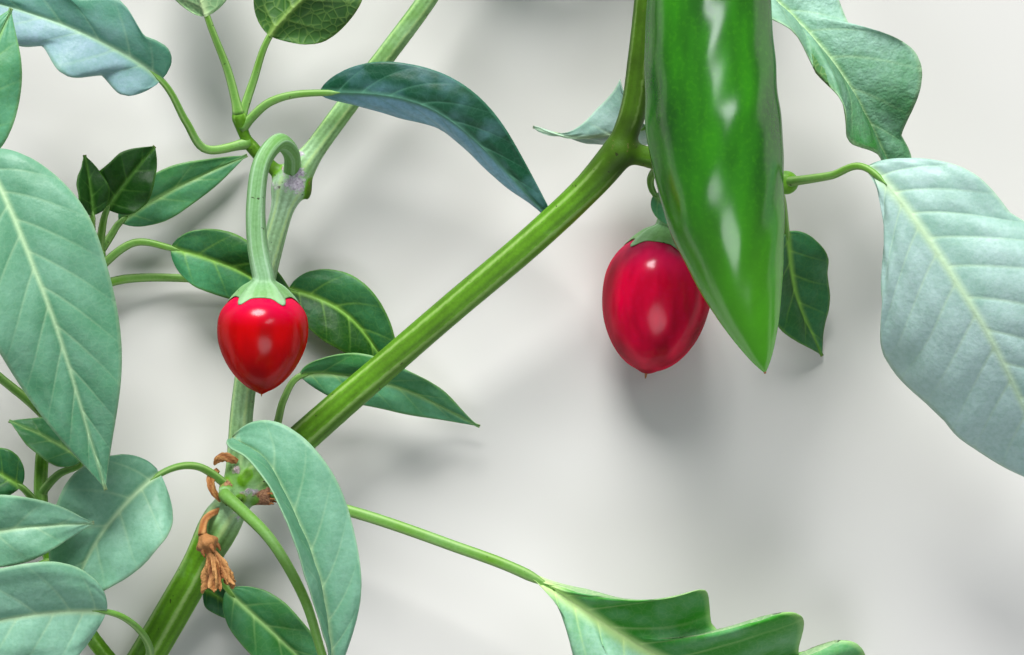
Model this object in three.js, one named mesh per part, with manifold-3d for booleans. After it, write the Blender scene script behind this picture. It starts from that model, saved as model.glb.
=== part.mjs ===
// A fruiting branch of a chilli pepper plant, cut and lying down.
// Millimetres, +Z up, the branch seen from above. The origin is under the middle of it,
// on the surface that it lies on.

import * as THREE from 'three';
import { mergeVertices } from 'three/addons/utils/BufferGeometryUtils.js';
import Module from 'manifold-3d';

const wasm = await Module();
wasm.setup();

// Driving dimensions

const CLEARANCE = 0.3;            // gap between a piece and the limb that carries it
const LEAF_THICKNESS = 0.9;
const LEAF_EDGE = 0.45;           // thickness at the margin, as a share of the middle
const LEAF_WIDEST = 0.36;         // share of the blade's length where it is widest
const LEAF_FULL = 0.62;           // below 1, the blade starts full and round
const LEAF_LEAST_HALF = 0.45;     // half width left at the blade's base and tip
const LEAF_ROWS = 7;              // faces along a blade
const LEAF_COLUMNS = 4;           // and across it
const PETIOLE_DIAMETER = 2.3;
const PETIOLE_END = 0.62;         // its diameter under the blade, as a share of that
const MIDRIB_SHARE = 0.07;        // how far the petiole runs on under the blade
const PETIOLE_SIDES = 5;
const FOOT_DIAMETER = 3.2;        // the petiole's foot on its limb
const FOOT_SHARE = 0.125;         // how far the foot's flare runs up the petiole

const STALK_SIDES = 8;
const STALK_SWELL = 1.5;          // above 1, a fruit's stalk thickens late
const CAP_FLARE = 1.3;            // above 1, it opens late into the cap
const CAP_TOOTH = 0.16;           // how far the cap's teeth stand out, as a share of its radius
const CAP_PROFILE = [[0, -1], [0.65, -1], [1, -0.6], [1, 0.8], [0, 2.5]];  // shares of radius, thickness

const FRONT_FRUIT = { diameter: 21.6, length: 23.6, sides: 16, steps: 12 };
const RIGHT_FRUIT = { diameter: 26.4, length: 32.6, sides: 16, steps: 12 };
const GREEN_FRUIT = { diameter: 31, sides: 18, steps: 16 };

// Fruit outlines: the share of the length where each is widest or full, and the powers
// that round its shoulder and its point
const HEART = { widest: 0.34, shoulder: 2.3, point: 0.62, least: 0.05 };
const EGG = { widest: 0.44, shoulder: 2.3, point: 2.05, least: 0.05 };
const HORN = { shoulder: 0.12, neck: 0.86, full: 0.4, point: 0.8, least: 0.04 };

// A leafy tip's shoot and its leaves: their turn round the shoot in radians, how much
// that spiral is flattened, and the leaves' sizes from the first to the last
const TIP_SHOOT = { diameters: [3.8, 1.8], sides: 8, steps: 6, bend: [1.2, 0, 1] };
const TIP_LEAF = {
  first: 0.3, turn: 2.4, flat: 0.55, length: [46, 22], width: 0.42, fold: 12, stalk: 1.9,
  opening: [1.25, 0.45], forward: [0.6, 1.1], base: 0.22, middle: 0.62, tip: 1.15, arch: 0.03,
  stray: 0.5, uneven: 0.2, tilt: 0.2,
};
const SEED_STEP = 7919;

// The lowest point of the branch and the middle of its footprint, moved to the origin
const SHIFT = [3.5, -16.3, -0.2];

// Limbs: the middle line of each, its diameter at both ends, and its swollen nodes,
// each with its share of the length, its gain in diameter and its spread

const LIMBS = [
  {
    name: 'main_stem', sides: 12, steps: 26, diameters: [8.7, 6.9],
    course: [[-96, -93, 4.6], [-86.3, -76.9, 6.5], [-76.6, -60.5, 9.5], [-65.3, -40.8, 14],
      [-49.9, -26.5, 18], [-32.8, -11.6, 21.5], [-14.5, 4.1, 25.5], [5.3, 20.8, 30],
      [18.1, 32.8, 33.5], [25.5, 41.5, 36.4]],
    stub: { course: [[-64, -39.6, 14.4], [-56.6, -39.8, 16.8]], diameters: [5, 4.4] },
    nodes: [[0.29, 0.18, 0.035], [0.34, -0.06, 0.03], [0.62, -0.07, 0.2], [0.99, 0.16, 0.04]],
  },
  {
    name: 'upper_stem', on: 'main_stem', sides: 10, steps: 12, diameters: [6.6, 5],
    course: [[24.2, 39.6, 35.8], [27.9, 50.1, 38], [29.4, 61.5, 40], [30.7, 75.1, 42],
      [32, 94.4, 44]],
    nodes: [[0.99, 0.2, 0.06]],
  },
  {
    name: 'right_limb', on: 'main_stem', beside: ['upper_stem'], sides: 8, steps: 8, diameters: [5.4, 4.2],
    course: [[24.9, 41, 36], [38.8, 37.6, 35], [52.7, 34.5, 35], [63.5, 33.4, 37]],
    nodes: [[0.97, 0.3, 0.06]],
  },
  {
    name: 'side_stem', on: 'main_stem', sides: 10, steps: 14, diameters: [5.7, 5.2],
    course: [[-65.1, -38.5, 14.4], [-63.5, -17.1, 16], [-58.9, 8.8, 18], [-54.1, 27.7, 18.5],
      [-51.8, 35.4, 18.5]],
    nodes: [[0.02, 0.2, 0.06], [0.97, 0.7, 0.05]],
  },
  {
    name: 'upper_limb', on: 'side_stem', sides: 10, steps: 12, diameters: [5.2, 4.6],
    course: [[-52, 34.6, 18.5], [-47.1, 41.1, 18.5], [-39.3, 51.7, 18.5], [-29.1, 64.7, 20],
      [-19.2, 78, 22], [-11.7, 90.7, 24]],
    nodes: [[0.04, 0.45, 0.06], [0.99, 0.2, 0.05]],
  },
  {
    name: 'leaf_shoot', on: 'side_stem', beside: ['upper_limb'], sides: 8, steps: 6, diameters: [3.6, 3],
    course: [[-52.4, 34.4, 18.5], [-58.8, 39.9, 19.5], [-62.9, 45.2, 21], [-64, 50, 22.5]],
    nodes: [[0.95, 0.3, 0.1]],
  },
  {
    name: 'left_shoot', on: 'main_stem', sides: 8, steps: 18, diameters: [4, 2.8],
    course: [[-91.6, -85, 5.6], [-102.3, -70.1, 9], [-110.5, -51.7, 10], [-111.7, -31.5, 10],
      [-107, -10.1, 9.5], [-100.9, 8.9, 9], [-98.2, 18.4, 9]],
    nodes: [[0.98, 0.35, 0.03]],
  },
];

// Leaves: the limb that carries each, the way of its petiole from that limb, the base,
// middle and tip of its blade, the blade's width, the way its upper side faces, and the
// angle in degrees at which its halves rise from the midrib, or one for each half. A lobed
// margin swings out and in, by a share of the width. Each leaf is cut clear of the limb
// that carries it and of the petioles and limbs beside it

const LEAVES = [
  {
    name: 'leaf_low_left', on: 'main_stem', beside: ['side_stem'],
    width: 27, face: [0.1, 0.25, 1], fold: 14,
    petiole: [[-66.5, -38, 16], [-74.1, -32.5, 22]],
    blade: [[-82.1, -34.2, 27], [-94.9, -47.6, 33], [-104.5, -66.2, 30]],
  },
  {
    name: 'leaf_centre_front', on: 'main_stem',
    width: 25, face: [0.1, 0.05, 1], fold: [74, 10], widest: 0.62, full: 0.95,
    petiole: [[-66.9, -40.5, 18], [-56.1, -49.3, 30], [-47.5, -62.5, 41], [-43.4, -74, 47]],
    blade: [[-41, -80, 51], [-43.3, -57.3, 57], [-50.4, -39, 58], [-56.2, -29.4, 56], [-63.6, -25.2, 51]],
  },
  {
    name: 'leaf_top_left', on: 'leaf_shoot', width: 17.5, face: [0.1, -0.1, 1], fold: 12, full: 0.45,
    petiole: [[-61.4, 43.6, 20.4], [-71.8, 41.8, 24], [-75.9, 47.9, 28]],
    blade: [[-81.3, 57.3, 33], [-99.3, 68, 38], [-126.5, 77.4, 32]],
  },
  {
    name: 'leaf_top_pale', on: 'leaf_shoot', width: 24, face: [0.5, 0.1, -1], fold: 12,
    petiole: [[-64, 50.5, 22.5], [-66.4, 59.8, 24]],
    blade: [[-71, 72.5, 28], [-75.3, 88.9, 29], [-78.8, 113, 16]],
  },
  {
    name: 'leaf_top_dark', on: 'leaf_shoot', beside: ['leaf_top_pale'],
    width: 24, face: [0.1, 0.35, -1], fold: 10,
    petiole: [[-63.6, 48.6, 22], [-60.7, 57.5, 22.5]],
    blade: [[-56.6, 68.1, 25], [-45.8, 79.9, 27], [-32.8, 95.2, 31]],
  },
  {
    name: 'leaf_arched', on: 'leaf_shoot', beside: ['leaf_top_pale', 'leaf_top_dark'],
    width: 16.5, face: [-0.25, -0.45, 0.85], fold: -30,
    petiole: [[-63.2, 46.8, 21.6], [-56.1, 52.9, 25]],
    blade: [[-44.8, 54.7, 27], [-19, 50.8, 31], [11.3, 23.4, 20]],
  },
  {
    name: 'leaf_small_upper', on: 'left_shoot', width: 14, face: [0, -0.3, 1], fold: 18, full: 0.5,
    petiole: [[-98.4, 18.2, 9.4], [-96.6, 25.9, 13]],
    blade: [[-95.8, 28, 13.5], [-90.6, 35.2, 15], [-84.5, 42.9, 14]],
  },
  {
    name: 'leaf_small_narrow', on: 'left_shoot', beside: ['leaf_small_upper'],
    width: 9, face: [0.6, -0.2, 1], fold: 25,
    petiole: [[-99, 15.4, 9.4], [-99.2, 23.9, 15.5]],
    blade: [[-98.9, 26.5, 17], [-99.4, 33.5, 19], [-100.6, 40.6, 18.5]],
  },
  {
    name: 'leaf_back_narrow', on: 'left_shoot', beside: ['leaf_small_upper', 'leaf_small_narrow'],
    width: 11.5, face: [0.1, -0.2, 1], fold: 12,
    petiole: [[-98.6, 16.6, 9], [-95.5, 22.1, 6.6]],
    blade: [[-93.5, 25.1, 6.2], [-81.5, 32.6, 6], [-63.3, 41.2, 4]],
  },
  {
    name: 'leaf_behind_fruit', on: 'left_shoot',
    beside: ['leaf_small_upper', 'leaf_small_narrow', 'leaf_back_narrow'],
    width: 15.5, face: [0.05, -0.1, 1], fold: 10,
    petiole: [[-99.6, 13.6, 9], [-89.4, 20.1, 12.4]],
    blade: [[-80.8, 18.8, 13], [-66.8, 14.4, 12], [-50.5, 5.4, 9]],
  },
  {
    name: 'leaf_behind_stem', on: 'left_shoot', beside: ['leaf_behind_fruit'],
    width: 17, face: [0, 0.1, 1], fold: 12,
    petiole: [[-100.6, 9.4, 9], [-92, 11.6, 6.2], [-72, 11.4, 4]],
    blade: [[-53.4, 9.2, 4], [-39.4, 3, 5], [-26.8, -13.8, 2.4]],
  },
  {
    name: 'leaf_big_left', on: 'left_shoot', width: 32, face: [0.15, 0.1, 1], fold: 8,
    petiole: [[-110, -22, 10], [-128, -2, 26], [-128.7, 24.8, 42]],
    blade: [[-121, 38, 51], [-105.9, 8.5, 56], [-92.7, -37.1, 46]],
  },
  {
    name: 'leaf_far_left', on: 'left_shoot', width: 22, face: [0.3, 0, 1], fold: 10,
    petiole: [[-106, -8.5, 9.6], [-124, 12, 22], [-132, 28, 38]],
    blade: [[-130.5, 38, 47], [-122, 52, 53], [-113.7, 72.5, 50]],
  },
  {
    name: 'leaf_under_stem', on: 'main_stem', width: 13, face: [-0.05, -0.35, 1], fold: 14,
    petiole: [[-56.6, -33, 16], [-55.5, -22.8, 14], [-53.9, -16.7, 13]],
    blade: [[-50.2, -11.5, 12], [-29, -13.6, 10], [-7.7, -23.6, 5]],
  },
  {
    name: 'leaf_low_right', on: 'main_stem',
    width: 44, face: [0, -0.3, 0.95], fold: 22, full: 0.95, widest: 0.52, rows: 12,
    lobe: { swing: 0.2, count: 3.2, start: [2.02, 3.6] },
    petiole: [[-62.5, -37.4, 15.5], [-38, -43.1, 21], [-14.5, -50.7, 26]],
    blade: [[4.2, -57.8, 29], [34.5, -76.5, 27], [60, -84.5, 18], [86, -88, 0.6]],
  },
  {
    name: 'leaf_top_right', on: 'upper_stem', width: 27, face: [0.1, 0.1, 1], fold: [10, 58],
    full: 0.8, widest: 0.5, rows: 12, lobe: { swing: 0.28, count: 1.5, start: [1.13, 0] },
    petiole: [[31.6, 85.5, 43], [44.4, 88.8, 37]],
    blade: [[56.1, 80.2, 34], [74.9, 60.2, 36], [90.6, 32.5, 27]],
  },
  {
    name: 'leaf_big_right', on: 'right_limb', width: 50, face: [0.15, 0.1, 1], fold: [8, -52],
    full: 0.85, widest: 0.48, rows: 10, lobe: { swing: 0.1, count: 2.4, start: [0.4, 4] },
    petiole: [[62.9, 33.5, 37], [72.1, 34.4, 52]],
    blade: [[79.5, 35.8, 60], [102.8, 4.1, 66], [126, -38, 44]],
  },
  {
    name: 'leaf_curled', on: 'upper_stem', width: 26, face: [0, 0.1, 1], fold: [-76, 15],
    full: 0.4, widest: 0.12, rows: 9,
    petiole: [[29.2, 60, 39], [36, 57, 32]],
    blade: [[30.6, 50, 26], [21, 44.8, 24], [12.8, 44.6, 23], [4.9, 47, 21]],
  },
  {
    name: 'leaf_under_fork', on: 'right_limb', width: 9, face: [0, -0.2, 1], fold: 12,
    petiole: [[35.1, 38.6, 35], [32.2, 34.3, 29]],
    blade: [[33.2, 31, 28.5], [38.7, 27.4, 29], [44.8, 23.6, 29]],
  },
  {
    name: 'leaf_hanging', on: 'right_limb', beside: ['leaf_big_right'],
    width: 19, face: [0.3, 0.2, 1], fold: 10,
    petiole: [[60.6, 33.6, 36], [63.2, 29.4, 26]],
    blade: [[64.6, 22.4, 20], [67.4, 7.9, 11], [74.3, -6.8, 1.6]],
  },
  {
    name: 'leaf_dark_low', on: 'main_stem', width: 8, face: [0, -0.2, 1], fold: 15,
    petiole: [[-84.4, -73, 7], [-77.4, -64.6, 4]],
    blade: [[-74.2, -62.6, 4], [-69.4, -65, 4], [-63.4, -70.6, 2.4]],
  },
  {
    name: 'leaf_left_small', on: 'left_shoot', width: 11, face: [0.2, 0.4, 1], fold: 12,
    petiole: [[-111.8, -38.9, 10.5], [-107, -34.6, 15]],
    blade: [[-101.4, -31.8, 17], [-109.3, -26.2, 18], [-118.6, -22, 17]],
  },
  {
    name: 'leaf_left_dark', on: 'left_shoot', beside: ['leaf_left_small'],
    width: 12, face: [0.1, 0, 1], fold: 8,
    petiole: [[-111.6, -43.4, 10], [-114.5, -39.2, 14]],
    blade: [[-116, -37.6, 15], [-121.2, -34.4, 15], [-129.5, -30, 11]],
  },
  {
    name: 'leaf_bottom_left', on: 'main_stem', width: 27, face: [0, -0.25, 1], fold: 10,
    petiole: [[-91.4, -85, 7], [-84.9, -75.8, 22], [-88, -68.5, 33]],
    blade: [[-93.5, -65.5, 38], [-113.8, -66.3, 44], [-138.9, -74, 36]],
  },
  {
    name: 'leaf_left_low', on: 'left_shoot', width: 17, face: [0, -0.1, 1], fold: 12,
    petiole: [[-108.8, -56, 10], [-119, -58, 24], [-128, -54, 32]],
    blade: [[-128, -49.5, 36], [-115.3, -46.4, 40], [-96.3, -45, 37]],
  },
  {
    name: 'leaf_bottom_back', on: 'main_stem', width: 15, face: [0, -0.1, 1], fold: 12,
    petiole: [[-71.2, -51.1, 12], [-69.6, -58.4, 10]],
    blade: [[-67.6, -62.2, 9.5], [-56.6, -72.7, 9], [-40.5, -88.6, 3]],
  },
];

// Leafy tips: the limb that ends in each, the way it grows, and how many leaves it has

const TIPS = [
  {
    name: 'leafy_tip_upper', on: 'upper_limb', grow: [0.35, 1, -0.12], droop: 0.06,
    length: 20, leaves: 5, seed: 3,
  },
  {
    name: 'leafy_tip_top', on: 'upper_stem', grow: [0.22, 1, -0.72], droop: 0.2,
    length: 28, leaves: 5, seed: 8,
  },
];

const COLOURS = {
  stem: 0x7f9c3f, pale: 0x9bb564, leaf: 0x2f6048, pod: 0xb3141f, green: 0x3f9b2f, dry: 0x8a5636,
};

// Curves and solids

function vector(point) {
  return new THREE.Vector3(...point);
}

function curveThrough(points) {
  return new THREE.CatmullRomCurve3(points.map(vector));
}

// The share of a curve's length at which one of its own points lies
function shareAt(curve, index) {
  const pieces = 60 * (curve.points.length - 1);
  const lengths = curve.getLengths(pieces);
  return lengths[60 * index] / lengths[pieces];
}

// Points along a curve, each with its direction and two directions across it
function stations(curve, steps, { to = 1, bunched = false } = {}) {
  const list = [];
  let across = new THREE.Vector3(0, 0, 1);
  for (let i = 0; i <= steps; i++) {
    const even = i / steps;
    const share = bunched ? (1 - Math.cos(Math.PI * even)) / 2 : even;
    const place = to * share;
    const along = curve.getTangentAt(place);
    if (i === 0 && Math.abs(along.z) > 0.9) across.set(1, 0, 0);
    across = across.clone().addScaledVector(along, -across.dot(along)).normalize();
    const beside = across.clone().cross(along);
    list.push({ share, point: curve.getPointAt(place), along, across, beside });
  }
  return list;
}

// A round solid that follows a curve: a lathe profile with one ring at each station
function roundSolid(list, sides, radiusAt) {
  const last = list.length - 1;
  const profile = list.map(({ share }, i) => new THREE.Vector2(radiusAt(share), i));
  profile.unshift(new THREE.Vector2(0, 0));
  profile.push(new THREE.Vector2(0, last));
  const geometry = new THREE.LatheGeometry(profile, sides);
  const places = geometry.getAttribute('position');
  for (let i = 0; i < places.count; i++) {
    const station = list[Math.round(places.getY(i))];
    const moved = station.point.clone()
      .addScaledVector(station.across, places.getX(i))
      .addScaledVector(station.beside, places.getZ(i));
    places.setXYZ(i, moved.x, moved.y, moved.z);
  }
  return toSolid(geometry);
}

function toSolid(geometry) {
  geometry.deleteAttribute('normal');
  geometry.deleteAttribute('uv');
  const merged = mergeVertices(geometry, 1e-4);
  return new wasm.Manifold(new wasm.Mesh({
    numProp: 3,
    vertProperties: new Float32Array(merged.getAttribute('position').array),
    triVerts: new Uint32Array(merged.index.array),
  }));
}

function toGeometry(solid) {
  const mesh = solid.getMesh();
  const geometry = new THREE.BufferGeometry();
  geometry.setAttribute('position', new THREE.BufferAttribute(new Float32Array(mesh.vertProperties), 3));
  geometry.setIndex(new THREE.BufferAttribute(new Uint32Array(mesh.triVerts), 1));
  geometry.computeVertexNormals();
  return geometry;
}

// The biggest of the bodies that a cut leaves
function largest(solid) {
  const bodies = solid.decompose();
  bodies.sort((a, b) => b.volume() - a.volume());
  return bodies[0];
}

// Limbs

function limbRadius(limb, share, extra = 0) {
  let gain = 1;
  for (const [place, size, spread] of limb.nodes) {
    gain += size * Math.exp(-(((share - place) / spread) ** 2));
  }
  return 0.5 * blend(limb.diameters, share) * gain + extra;
}

function limbSolid(limb, extra = 0) {
  const solid = roundSolid(stations(limb.curve, limb.steps), limb.sides,
    (share) => limbRadius(limb, share, extra));
  if (!limb.stub) return solid;
  const stub = roundSolid(stations(curveThrough(limb.stub.course), 2), 8,
    (share) => 0.5 * blend(limb.stub.diameters, share) + extra);
  return solid.add(stub);
}

// The point of a limb's middle line that lies nearest to a place
function nearest(limb, place) {
  const list = stations(limb.curve, 80).map((station) => station.point);
  list.sort((a, b) => a.distanceTo(place) - b.distanceTo(place));
  return list[0];
}

// A solid cut clear of what carries it and of what lies beside it there
function clearOfAll(solid, { on, beside = [] }, carriers) {
  let cut = solid;
  for (const name of [on, ...beside]) cut = cut.subtract(carriers.get(name).swollen());
  return largest(cut);
}

// Leaves

// The half width of a blade, as a share of its widest
function bladeOutline(share, widest, full) {
  const fall = full * (1 - widest) / widest;
  return (share / widest) ** full * ((1 - share) / (1 - widest)) ** fall;
}

// The half width of a blade on one side of its midrib
function halfWidth({ width, widest = LEAF_WIDEST, full = LEAF_FULL, lobe }, share, side) {
  let half = 0.5 * width * bladeOutline(share, widest, full);
  if (lobe) {
    const phase = 2 * Math.PI * lobe.count * share + lobe.start[side < 0 ? 0 : 1];
    half *= 1 + lobe.swing * Math.sin(phase);
  }
  return Math.max(LEAF_LEAST_HALF, half);
}

// A box of many faces, its length laid along the curve and its sides shaped to the outline
function bladeSolid(curve, from, leaf) {
  const { face, fold, rows = LEAF_ROWS, columns = LEAF_COLUMNS } = leaf;
  const folds = [fold].flat();
  const geometry = new THREE.BoxGeometry(2, 1, 1, columns, rows, 1);
  const places = geometry.getAttribute('position');
  const facing = vector(face).normalize();
  for (let i = 0; i < places.count; i++) {
    const side = places.getX(i);
    const share = places.getY(i) + 0.5;
    const place = from + (1 - from) * share;
    const along = curve.getTangentAt(place);
    const across = along.clone().cross(facing).normalize();
    const up = across.clone().cross(along);
    const rise = THREE.MathUtils.degToRad(side < 0 ? folds[0] : folds.at(-1));
    const half = halfWidth(leaf, share, side) * Math.abs(side);
    const thickness = LEAF_THICKNESS * (1 - (1 - LEAF_EDGE) * Math.abs(side));
    const point = curve.getPointAt(place)
      .addScaledVector(across, Math.sign(side) * half * Math.cos(rise))
      .addScaledVector(up, half * Math.sin(rise) + thickness * places.getZ(i));
    places.setXYZ(i, point.x, point.y, point.z);
  }
  return toSolid(geometry);
}

function petioleSolid(curve, to, steps, { diameter = PETIOLE_DIAMETER, extra = 0 } = {}) {
  const foot = FOOT_DIAMETER / PETIOLE_DIAMETER - 1;
  return roundSolid(stations(curve, steps, { to }), PETIOLE_SIDES, (share) => {
    const taper = 1 + (PETIOLE_END - 1) * share;
    return 0.5 * diameter * (taper + foot * Math.max(0, 1 - share / FOOT_SHARE)) + extra;
  });
}

function leafSolid(leaf, carriers) {
  const [first, ...others] = leaf.petiole;
  const root = nearest(carriers.get(leaf.on), vector(first)).toArray();
  const curve = curveThrough([root, ...others, ...leaf.blade]);
  const base = shareAt(curve, others.length + 1);
  const end = base + (1 - base) * MIDRIB_SHARE;
  const steps = 3 + 2 * others.length;
  leaf.swollen = () => petioleSolid(curve, end, steps, { extra: CLEARANCE });
  carriers.set(leaf.name, leaf);
  return clearOfAll(bladeSolid(curve, base, leaf).add(petioleSolid(curve, end, steps)), leaf, carriers);
}

// Leafy tips: a short shoot with leaves that open round it, smaller towards its end

function randomFrom(seed) {
  let state = seed;
  return () => {
    state = (state * 16807) % 2147483647;
    return state / 2147483647;
  };
}

function blend([start, end], share) {
  return start + (end - start) * share;
}

function tipSolid(tip, carriers) {
  const random = randomFrom(tip.seed * SEED_STEP);
  const start = carriers.get(tip.on).curve.getPointAt(1);
  const grow = vector(tip.grow).normalize();
  const end = start.clone().addScaledVector(grow, tip.length);
  const bend = start.clone().lerp(end, 0.5).add(vector(TIP_SHOOT.bend));
  const shoot = curveThrough([start.toArray(), bend.toArray(), end.toArray()]);
  let solid = roundSolid(stations(shoot, TIP_SHOOT.steps), TIP_SHOOT.sides,
    (share) => 0.5 * blend(TIP_SHOOT.diameters, share));
  const side = grow.clone().cross(new THREE.Vector3(0, 0, 1)).normalize();
  const up = side.clone().cross(grow);
  for (let i = 0; i < tip.leaves; i++) {
    const share = TIP_LEAF.first + (1 - TIP_LEAF.first) * (i + 1) / tip.leaves;
    const turn = TIP_LEAF.turn * i + TIP_LEAF.stray * random();
    const way = side.clone().multiplyScalar(Math.cos(turn))
      .addScaledVector(up, TIP_LEAF.flat * Math.sin(turn))
      .multiplyScalar(blend(TIP_LEAF.opening, share))
      .addScaledVector(grow, blend(TIP_LEAF.forward, share)).normalize();
    const size = blend(TIP_LEAF.length, share) * (1 + TIP_LEAF.uneven * (random() - 0.5));
    const root = shoot.getPointAt(share);
    const at = (far, sink) => root.clone().addScaledVector(way, far * size)
      .add(new THREE.Vector3(0, 0, -sink * size)).toArray();
    const curve = curveThrough([root.toArray(), at(TIP_LEAF.base, -TIP_LEAF.arch),
      at(TIP_LEAF.middle, -TIP_LEAF.arch), at(TIP_LEAF.tip, tip.droop)]);
    const base = shareAt(curve, 1);
    const face = [TIP_LEAF.tilt * (random() - 0.5), TIP_LEAF.tilt * (random() - 0.5), 1];
    const shape = { width: TIP_LEAF.width * size, face, fold: TIP_LEAF.fold, rows: 6, columns: 2 };
    const rib = petioleSolid(curve, base + MIDRIB_SHARE, 3, { diameter: TIP_LEAF.stalk });
    solid = solid.add(bladeSolid(curve, base, shape)).add(rib);
  }
  return clearOfAll(solid, tip, carriers);
}

// Fruits: the half width along each kind, from the stalk to the point, as a share of the widest

function heartOutline(share) {
  const { widest, shoulder, point, least } = HEART;
  const upper = Math.sqrt(1 - (1 - Math.min(1, share / widest)) ** shoulder);
  const reach = Math.max(0, share - widest) / (1 - widest);
  return Math.max(least, upper * Math.cos(reach * Math.PI / 2) ** point);
}

function eggOutline(share) {
  const { widest, shoulder, point, least } = EGG;
  const reach = share < widest ? (widest - share) / widest : (share - widest) / (1 - widest);
  return Math.max(least, Math.sqrt(Math.max(0, 1 - reach ** (share < widest ? shoulder : point))));
}

function hornOutline(share) {
  const { shoulder, neck, full, point, least } = HORN;
  const upper = Math.sqrt(Math.min(1, share / shoulder)) * blend([neck, 1], Math.min(1, share / full));
  const reach = Math.max(0, share - full) / (1 - full);
  return Math.max(least, upper * Math.cos(reach * Math.PI / 2) ** point);
}

function fruitSolid(fruit, extra = 0) {
  const { diameter, sides, steps } = fruit.size;
  const list = stations(fruit.curve, steps, { bunched: true });
  for (const { share, point, along } of list) point.addScaledVector(along, extra * (2 * share - 1));
  return roundSolid(list, sides, (share) => 0.5 * diameter * fruit.outline(share) + extra);
}

// A stalk that widens into a toothed cap, its underside cut to the top of the fruit
function stalkSolid(fruit, carriers) {
  const top = fruit.curve.getPointAt(0);
  const along = fruit.curve.getTangentAt(0);
  const root = nearest(carriers.get(fruit.on), vector(fruit.stalk[0])).toArray();
  const end = top.clone().addScaledVector(along, fruit.cap.sink);
  const neck = top.clone().addScaledVector(along, -fruit.cap.neck);
  const curve = curveThrough([root, ...fruit.stalk.slice(1), neck.toArray(), end.toArray()]);
  const neckShare = shareAt(curve, curve.points.length - 2);
  const stalk = roundSolid(stations(curve, fruit.stalkSteps), STALK_SIDES, (share) => {
    const flare = Math.max(0, (share - neckShare) / (1 - neckShare));
    return 0.5 * blend(fruit.stalkDiameters, share ** STALK_SWELL) + fruit.cap.flare * flare ** CAP_FLARE;
  });
  const whole = stalk.add(capSolid(fruit, top, along)).subtract(fruitSolid(fruit, CLEARANCE));
  return clearOfAll(largest(whole), fruit, carriers);
}

// How far below the fruit's top its shoulder has a given radius
function shoulderDepth(fruit, radius) {
  const { diameter, length } = fruit.size;
  let share = 0;
  while (share < 0.4 && 0.5 * diameter * fruit.outline(share) < radius) share += 0.002;
  return share * (length ?? fruit.curve.getLength());
}

// The cap: a toothed disc that lies on the fruit's shoulder, a lathe turned about its axis
function capSolid(fruit, top, along) {
  const { width, teeth, thickness } = fruit.cap;
  const profile = CAP_PROFILE
    .map(([share, side]) => new THREE.Vector2(0.5 * width * share, side * thickness));
  const geometry = new THREE.LatheGeometry(profile, 3 * teeth);
  const places = geometry.getAttribute('position');
  const list = stations(new THREE.LineCurve3(top, top.clone().add(along)), 1);
  const { across, beside } = list[0];
  for (let i = 0; i < places.count; i++) {
    const flat = new THREE.Vector2(places.getX(i), places.getZ(i));
    const tooth = 1 + CAP_TOOTH * Math.cos(teeth * flat.angle());
    const depth = shoulderDepth(fruit, flat.length() * tooth);
    const point = top.clone().addScaledVector(across, flat.x * tooth)
      .addScaledVector(beside, flat.y * tooth).addScaledVector(along, depth + places.getY(i));
    places.setXYZ(i, point.x, point.y, point.z);
  }
  return toSolid(geometry);
}

function straight(centre, way, length) {
  const half = vector(way).normalize().multiplyScalar(0.5 * length);
  return new THREE.LineCurve3(vector(centre).sub(half), vector(centre).add(half));
}

const FRUITS = [
  {
    name: 'red_fruit_front', stalkName: 'stalk_front', on: 'side_stem', colour: 'pod',
    beside: ['upper_limb', 'leaf_shoot'],
    size: FRONT_FRUIT, outline: heartOutline,
    curve: straight([-57.7, -3.3, 34.5], [-0.02, -1, -0.06], FRONT_FRUIT.length),
    stalk: [[-52.4, 34.6, 19], [-51.6, 40.8, 25], [-54.3, 43, 31], [-57.8, 38.3, 34],
      [-59.2, 28.3, 35], [-58.8, 19, 35]],
    stalkDiameters: [4.2, 5.8], stalkSteps: 16,
    cap: { width: 14.4, thickness: 1.1, neck: 3, sink: 1.5, flare: 2.1, teeth: 5 },
  },
  {
    name: 'red_fruit_right', stalkName: 'stalk_right', on: 'right_limb', colour: 'pod',
    size: RIGHT_FRUIT, outline: eggOutline,
    curve: straight([33.9, 5.7, 13.6], [-0.13, -1, -0.03], RIGHT_FRUIT.length),
    stalk: [[37, 38, 35], [38.6, 34.5, 26], [37.4, 28.6, 18]],
    stalkDiameters: [3.8, 4.6], stalkSteps: 10,
    cap: { width: 17, thickness: 1.2, neck: 2.6, sink: 2, flare: 2.4, teeth: 5 },
  },
  {
    name: 'green_fruit', stalkName: 'stalk_green', on: 'upper_stem', colour: 'green',
    size: GREEN_FRUIT, outline: hornOutline,
    curve: curveThrough([[43.7, 86.9, 66], [43.7, 59.6, 66], [47.2, 28.5, 64], [56.9, -10, 58]]),
    stalk: [[31.7, 89, 43.6], [33.2, 96, 52], [37.6, 100.5, 61]],
    stalkDiameters: [4.6, 5.4], stalkSteps: 12,
    cap: { width: 20, thickness: 1.4, neck: 4, sink: 2.2, flare: 2, teeth: 5 },
  },
];

// The dried flower: a bent stalk, a small ovary and a shrivelled bell of petals

const FLOWER = {
  name: 'dried_flower', on: 'main_stem',
  stalk: [[-67.5, -41.8, 14.5], [-72, -45, 19], [-72.6, -48.8, 21]],
  bell: [[-72.6, -48.8, 21], [-70.9, -52, 21.6], [-69.4, -56, 21.4], [-68.6, -62, 20]],
  stalkRadius: 0.8, stalkGain: 0.5, neckRadius: 0.9,
  ovary: { gain: 1.5, place: 0.18, spread: 0.12 },
  mouth: { start: 0.35, gain: 3, power: 0.8 },
};

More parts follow.
